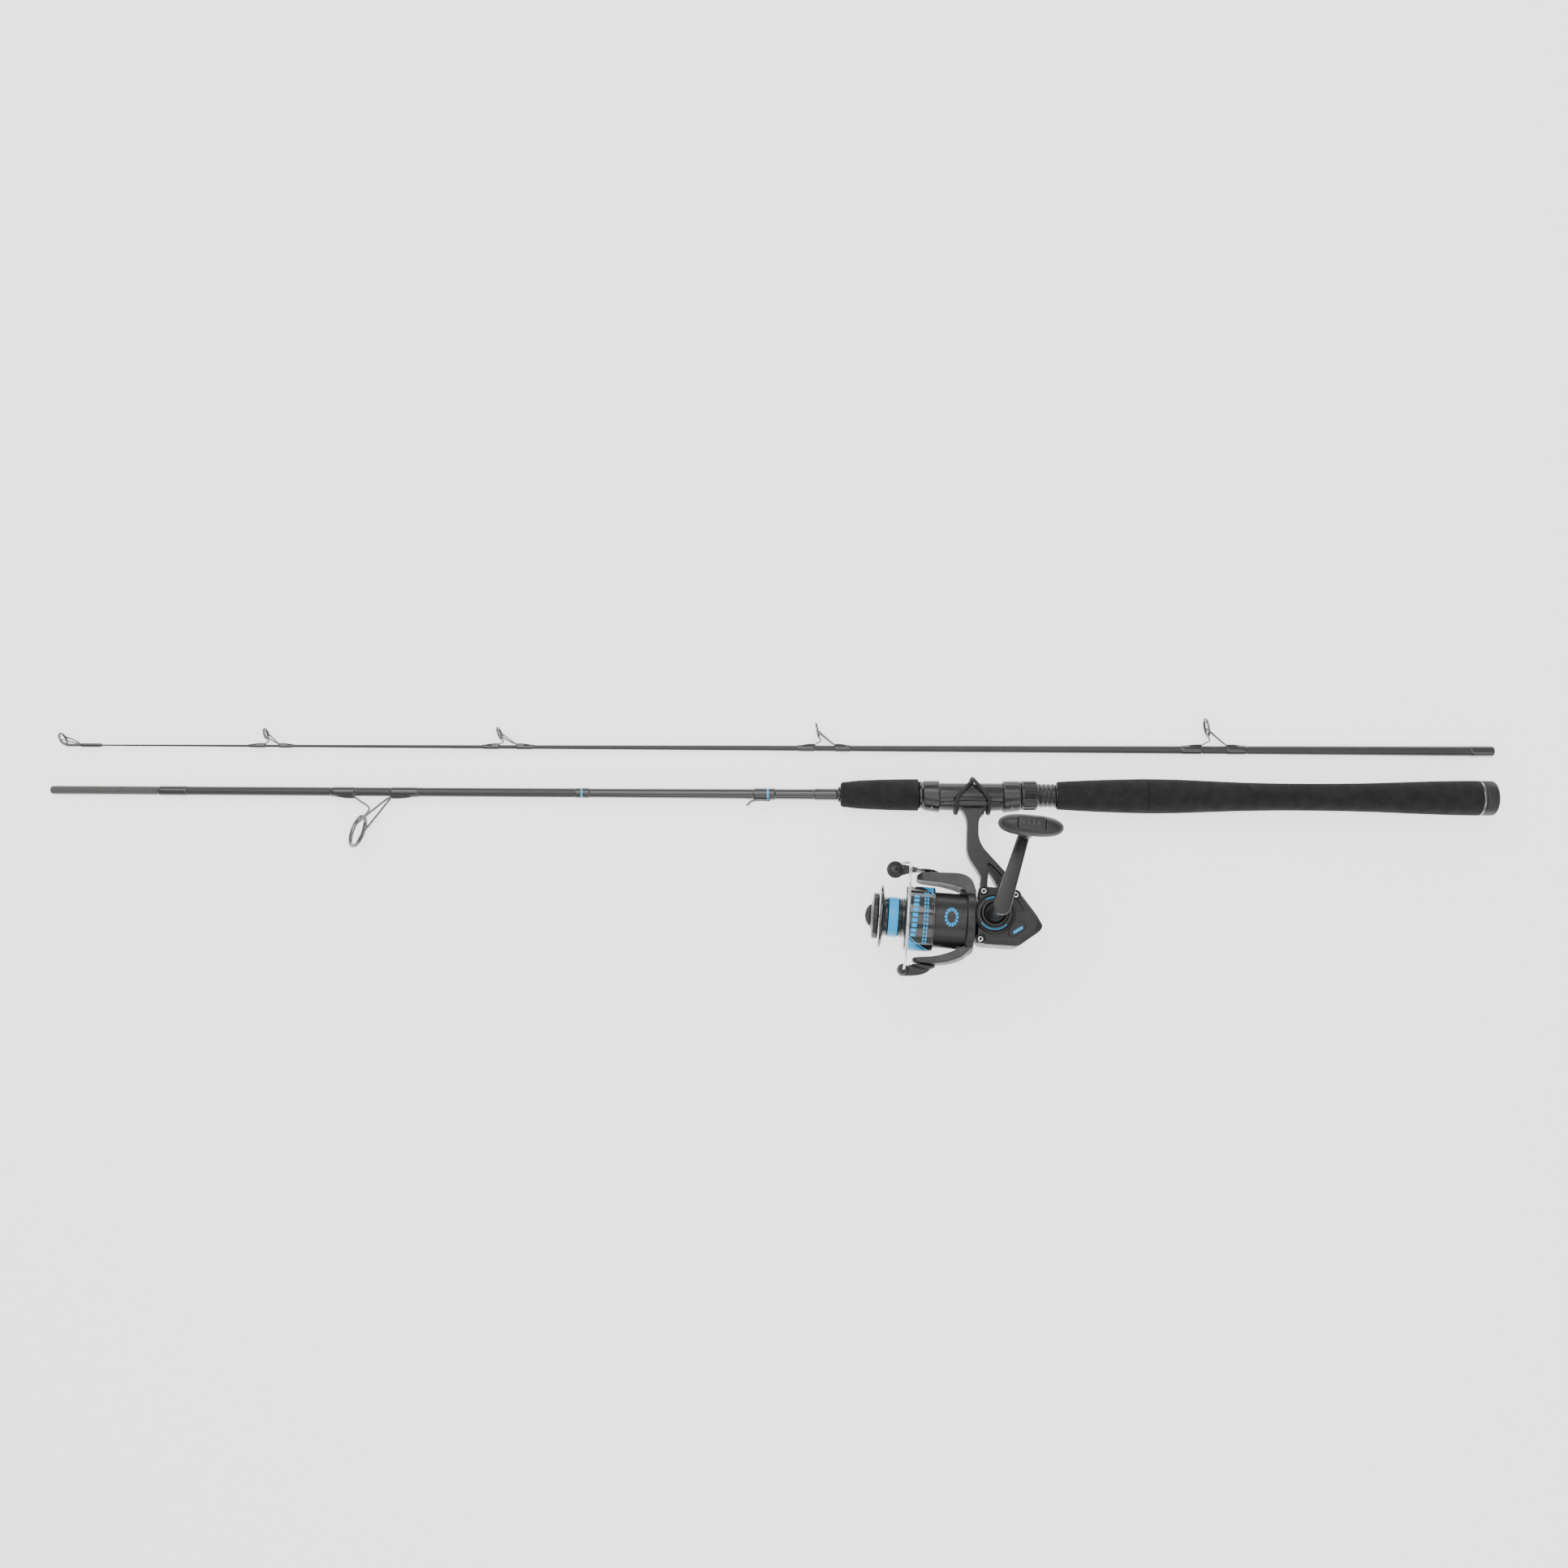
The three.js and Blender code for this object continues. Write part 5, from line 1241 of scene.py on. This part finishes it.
dial = revolve([(-97, 1.9), (-97, 18.6), (-98, 19.6), (-101, 19.6), (-102, 18.7), (-102.4, 13.4),
                (-103.4, 10.4), (-104.6, 4), (-104.8, 0), (-104.3, 0), (-104.3, 1.9), (-97, 1.9)], sides=144,
               radius=0.5, shape=knurled(18, 0.014, -101.2, -97.8, power=4))
bar = slab([(-101.5, 9.2), (-104.5, 9.0), *quadratic((-106, 7.6), (-111, 0), (-106, -7.6), 12),
            (-104.5, -9.0), (-101.5, -9.2)], -3.6, 3.6)
shell = cut(united(dial, bevelled(bar, 0.9, 3, 40)), disc(-104.3, -90, 1.9, sides=40))
piece("drag_knob_moulded", moulded(shell, 0.3, 4, 0.6), REEL, "drag_knob", GRAPHITE, "drag_knob")


# ---------------------------------------------------------------- inner parts keep the CAD shapes

INNER = {
    "drive_bearing_near": HIDDEN_STEEL, "drive_bearing_far": HIDDEN_STEEL, "pinion_bearing": HIDDEN_STEEL,
    "one_way_clutch": HIDDEN_STEEL, "rotor_nut": STEEL, "bail_spring": STEEL, "main_shaft": TURNED,
    "drag_washers": HIDDEN_STEEL, "knob_spindle": STEEL, "drive_gear": BRASS, "pinion_gear": BRASS,
    "crosshead": BRASS, "oscillation_gear": NYLON,
}
for name, look in INNER.items():
    mesh = frame["nodes"][name].data
    mesh.materials.clear()
    mesh.materials.append(look)


# ---------------------------------------------------------------- floor, light and camera

FLOOR_SIZE, FLOOR_Z, FLOOR_CELLS = 14.0, -0.0004, 12


def sheet(name, size, z, cells):
    """Level square of cells x cells faces."""
    line = np.linspace(-size / 2, size / 2, cells + 1)
    row = cells + 1
    points = [(x, y, z) for y in line for x in line]
    faces = [(k, k + 1, k + row + 1, k + row) for j in range(cells) for k in range(j * row, j * row + cells)]
    mesh = mesh_of(name, points, faces)
    mesh.materials.append(FLOOR)
    return placed(name, mesh)


floor = sheet("studio_floor", FLOOR_SIZE, FLOOR_Z, FLOOR_CELLS)


def lamp(name, at, size, power):
    """White area light aimed at the middle of the object."""
    data = bpy.data.lights.new(name, "AREA")
    data.shape = "RECTANGLE"
    data.size, data.size_y = size
    data.energy = power
    obj = placed(name, data)
    obj.location = at
    obj.rotation_euler = (-Vector(at)).to_track_quat("-Z", "Y").to_euler()
    return obj


lamps = [lamp("key_soft", (-0.5, 1.3, 1.9), (2.2, 1.2), 26),
         lamp("fill_soft", (0.6, -1.5, 1.6), (2.4, 1.2), 13),
         lamp("top_soft", (0.0, 0.1, 2.6), (2.6, 1.6), 18)]
world = bpy.data.worlds.new("studio")
world.use_nodes = True
sky = world.node_tree.nodes["Background"].inputs
sky["Color"].default_value = (1, 1, 1, 1)
sky["Strength"].default_value = 0.75
bpy.context.scene.world = world

# The photograph was taken from above, a little to the tip's side of the reel stem.
CAMERA_FROM_STEM = (-0.1645, 0.0089, 1.3830)
CAMERA_ROLL = math.radians(0.33)
camera = placed("camera", bpy.data.cameras.new("camera"))
camera.data.lens = 36.35
camera.data.sensor_width = 36
camera.location = BUTT[:, 3] + CAMERA_FROM_STEM
camera.rotation_euler = (0, 0, CAMERA_ROLL)
bpy.context.scene.camera = camera
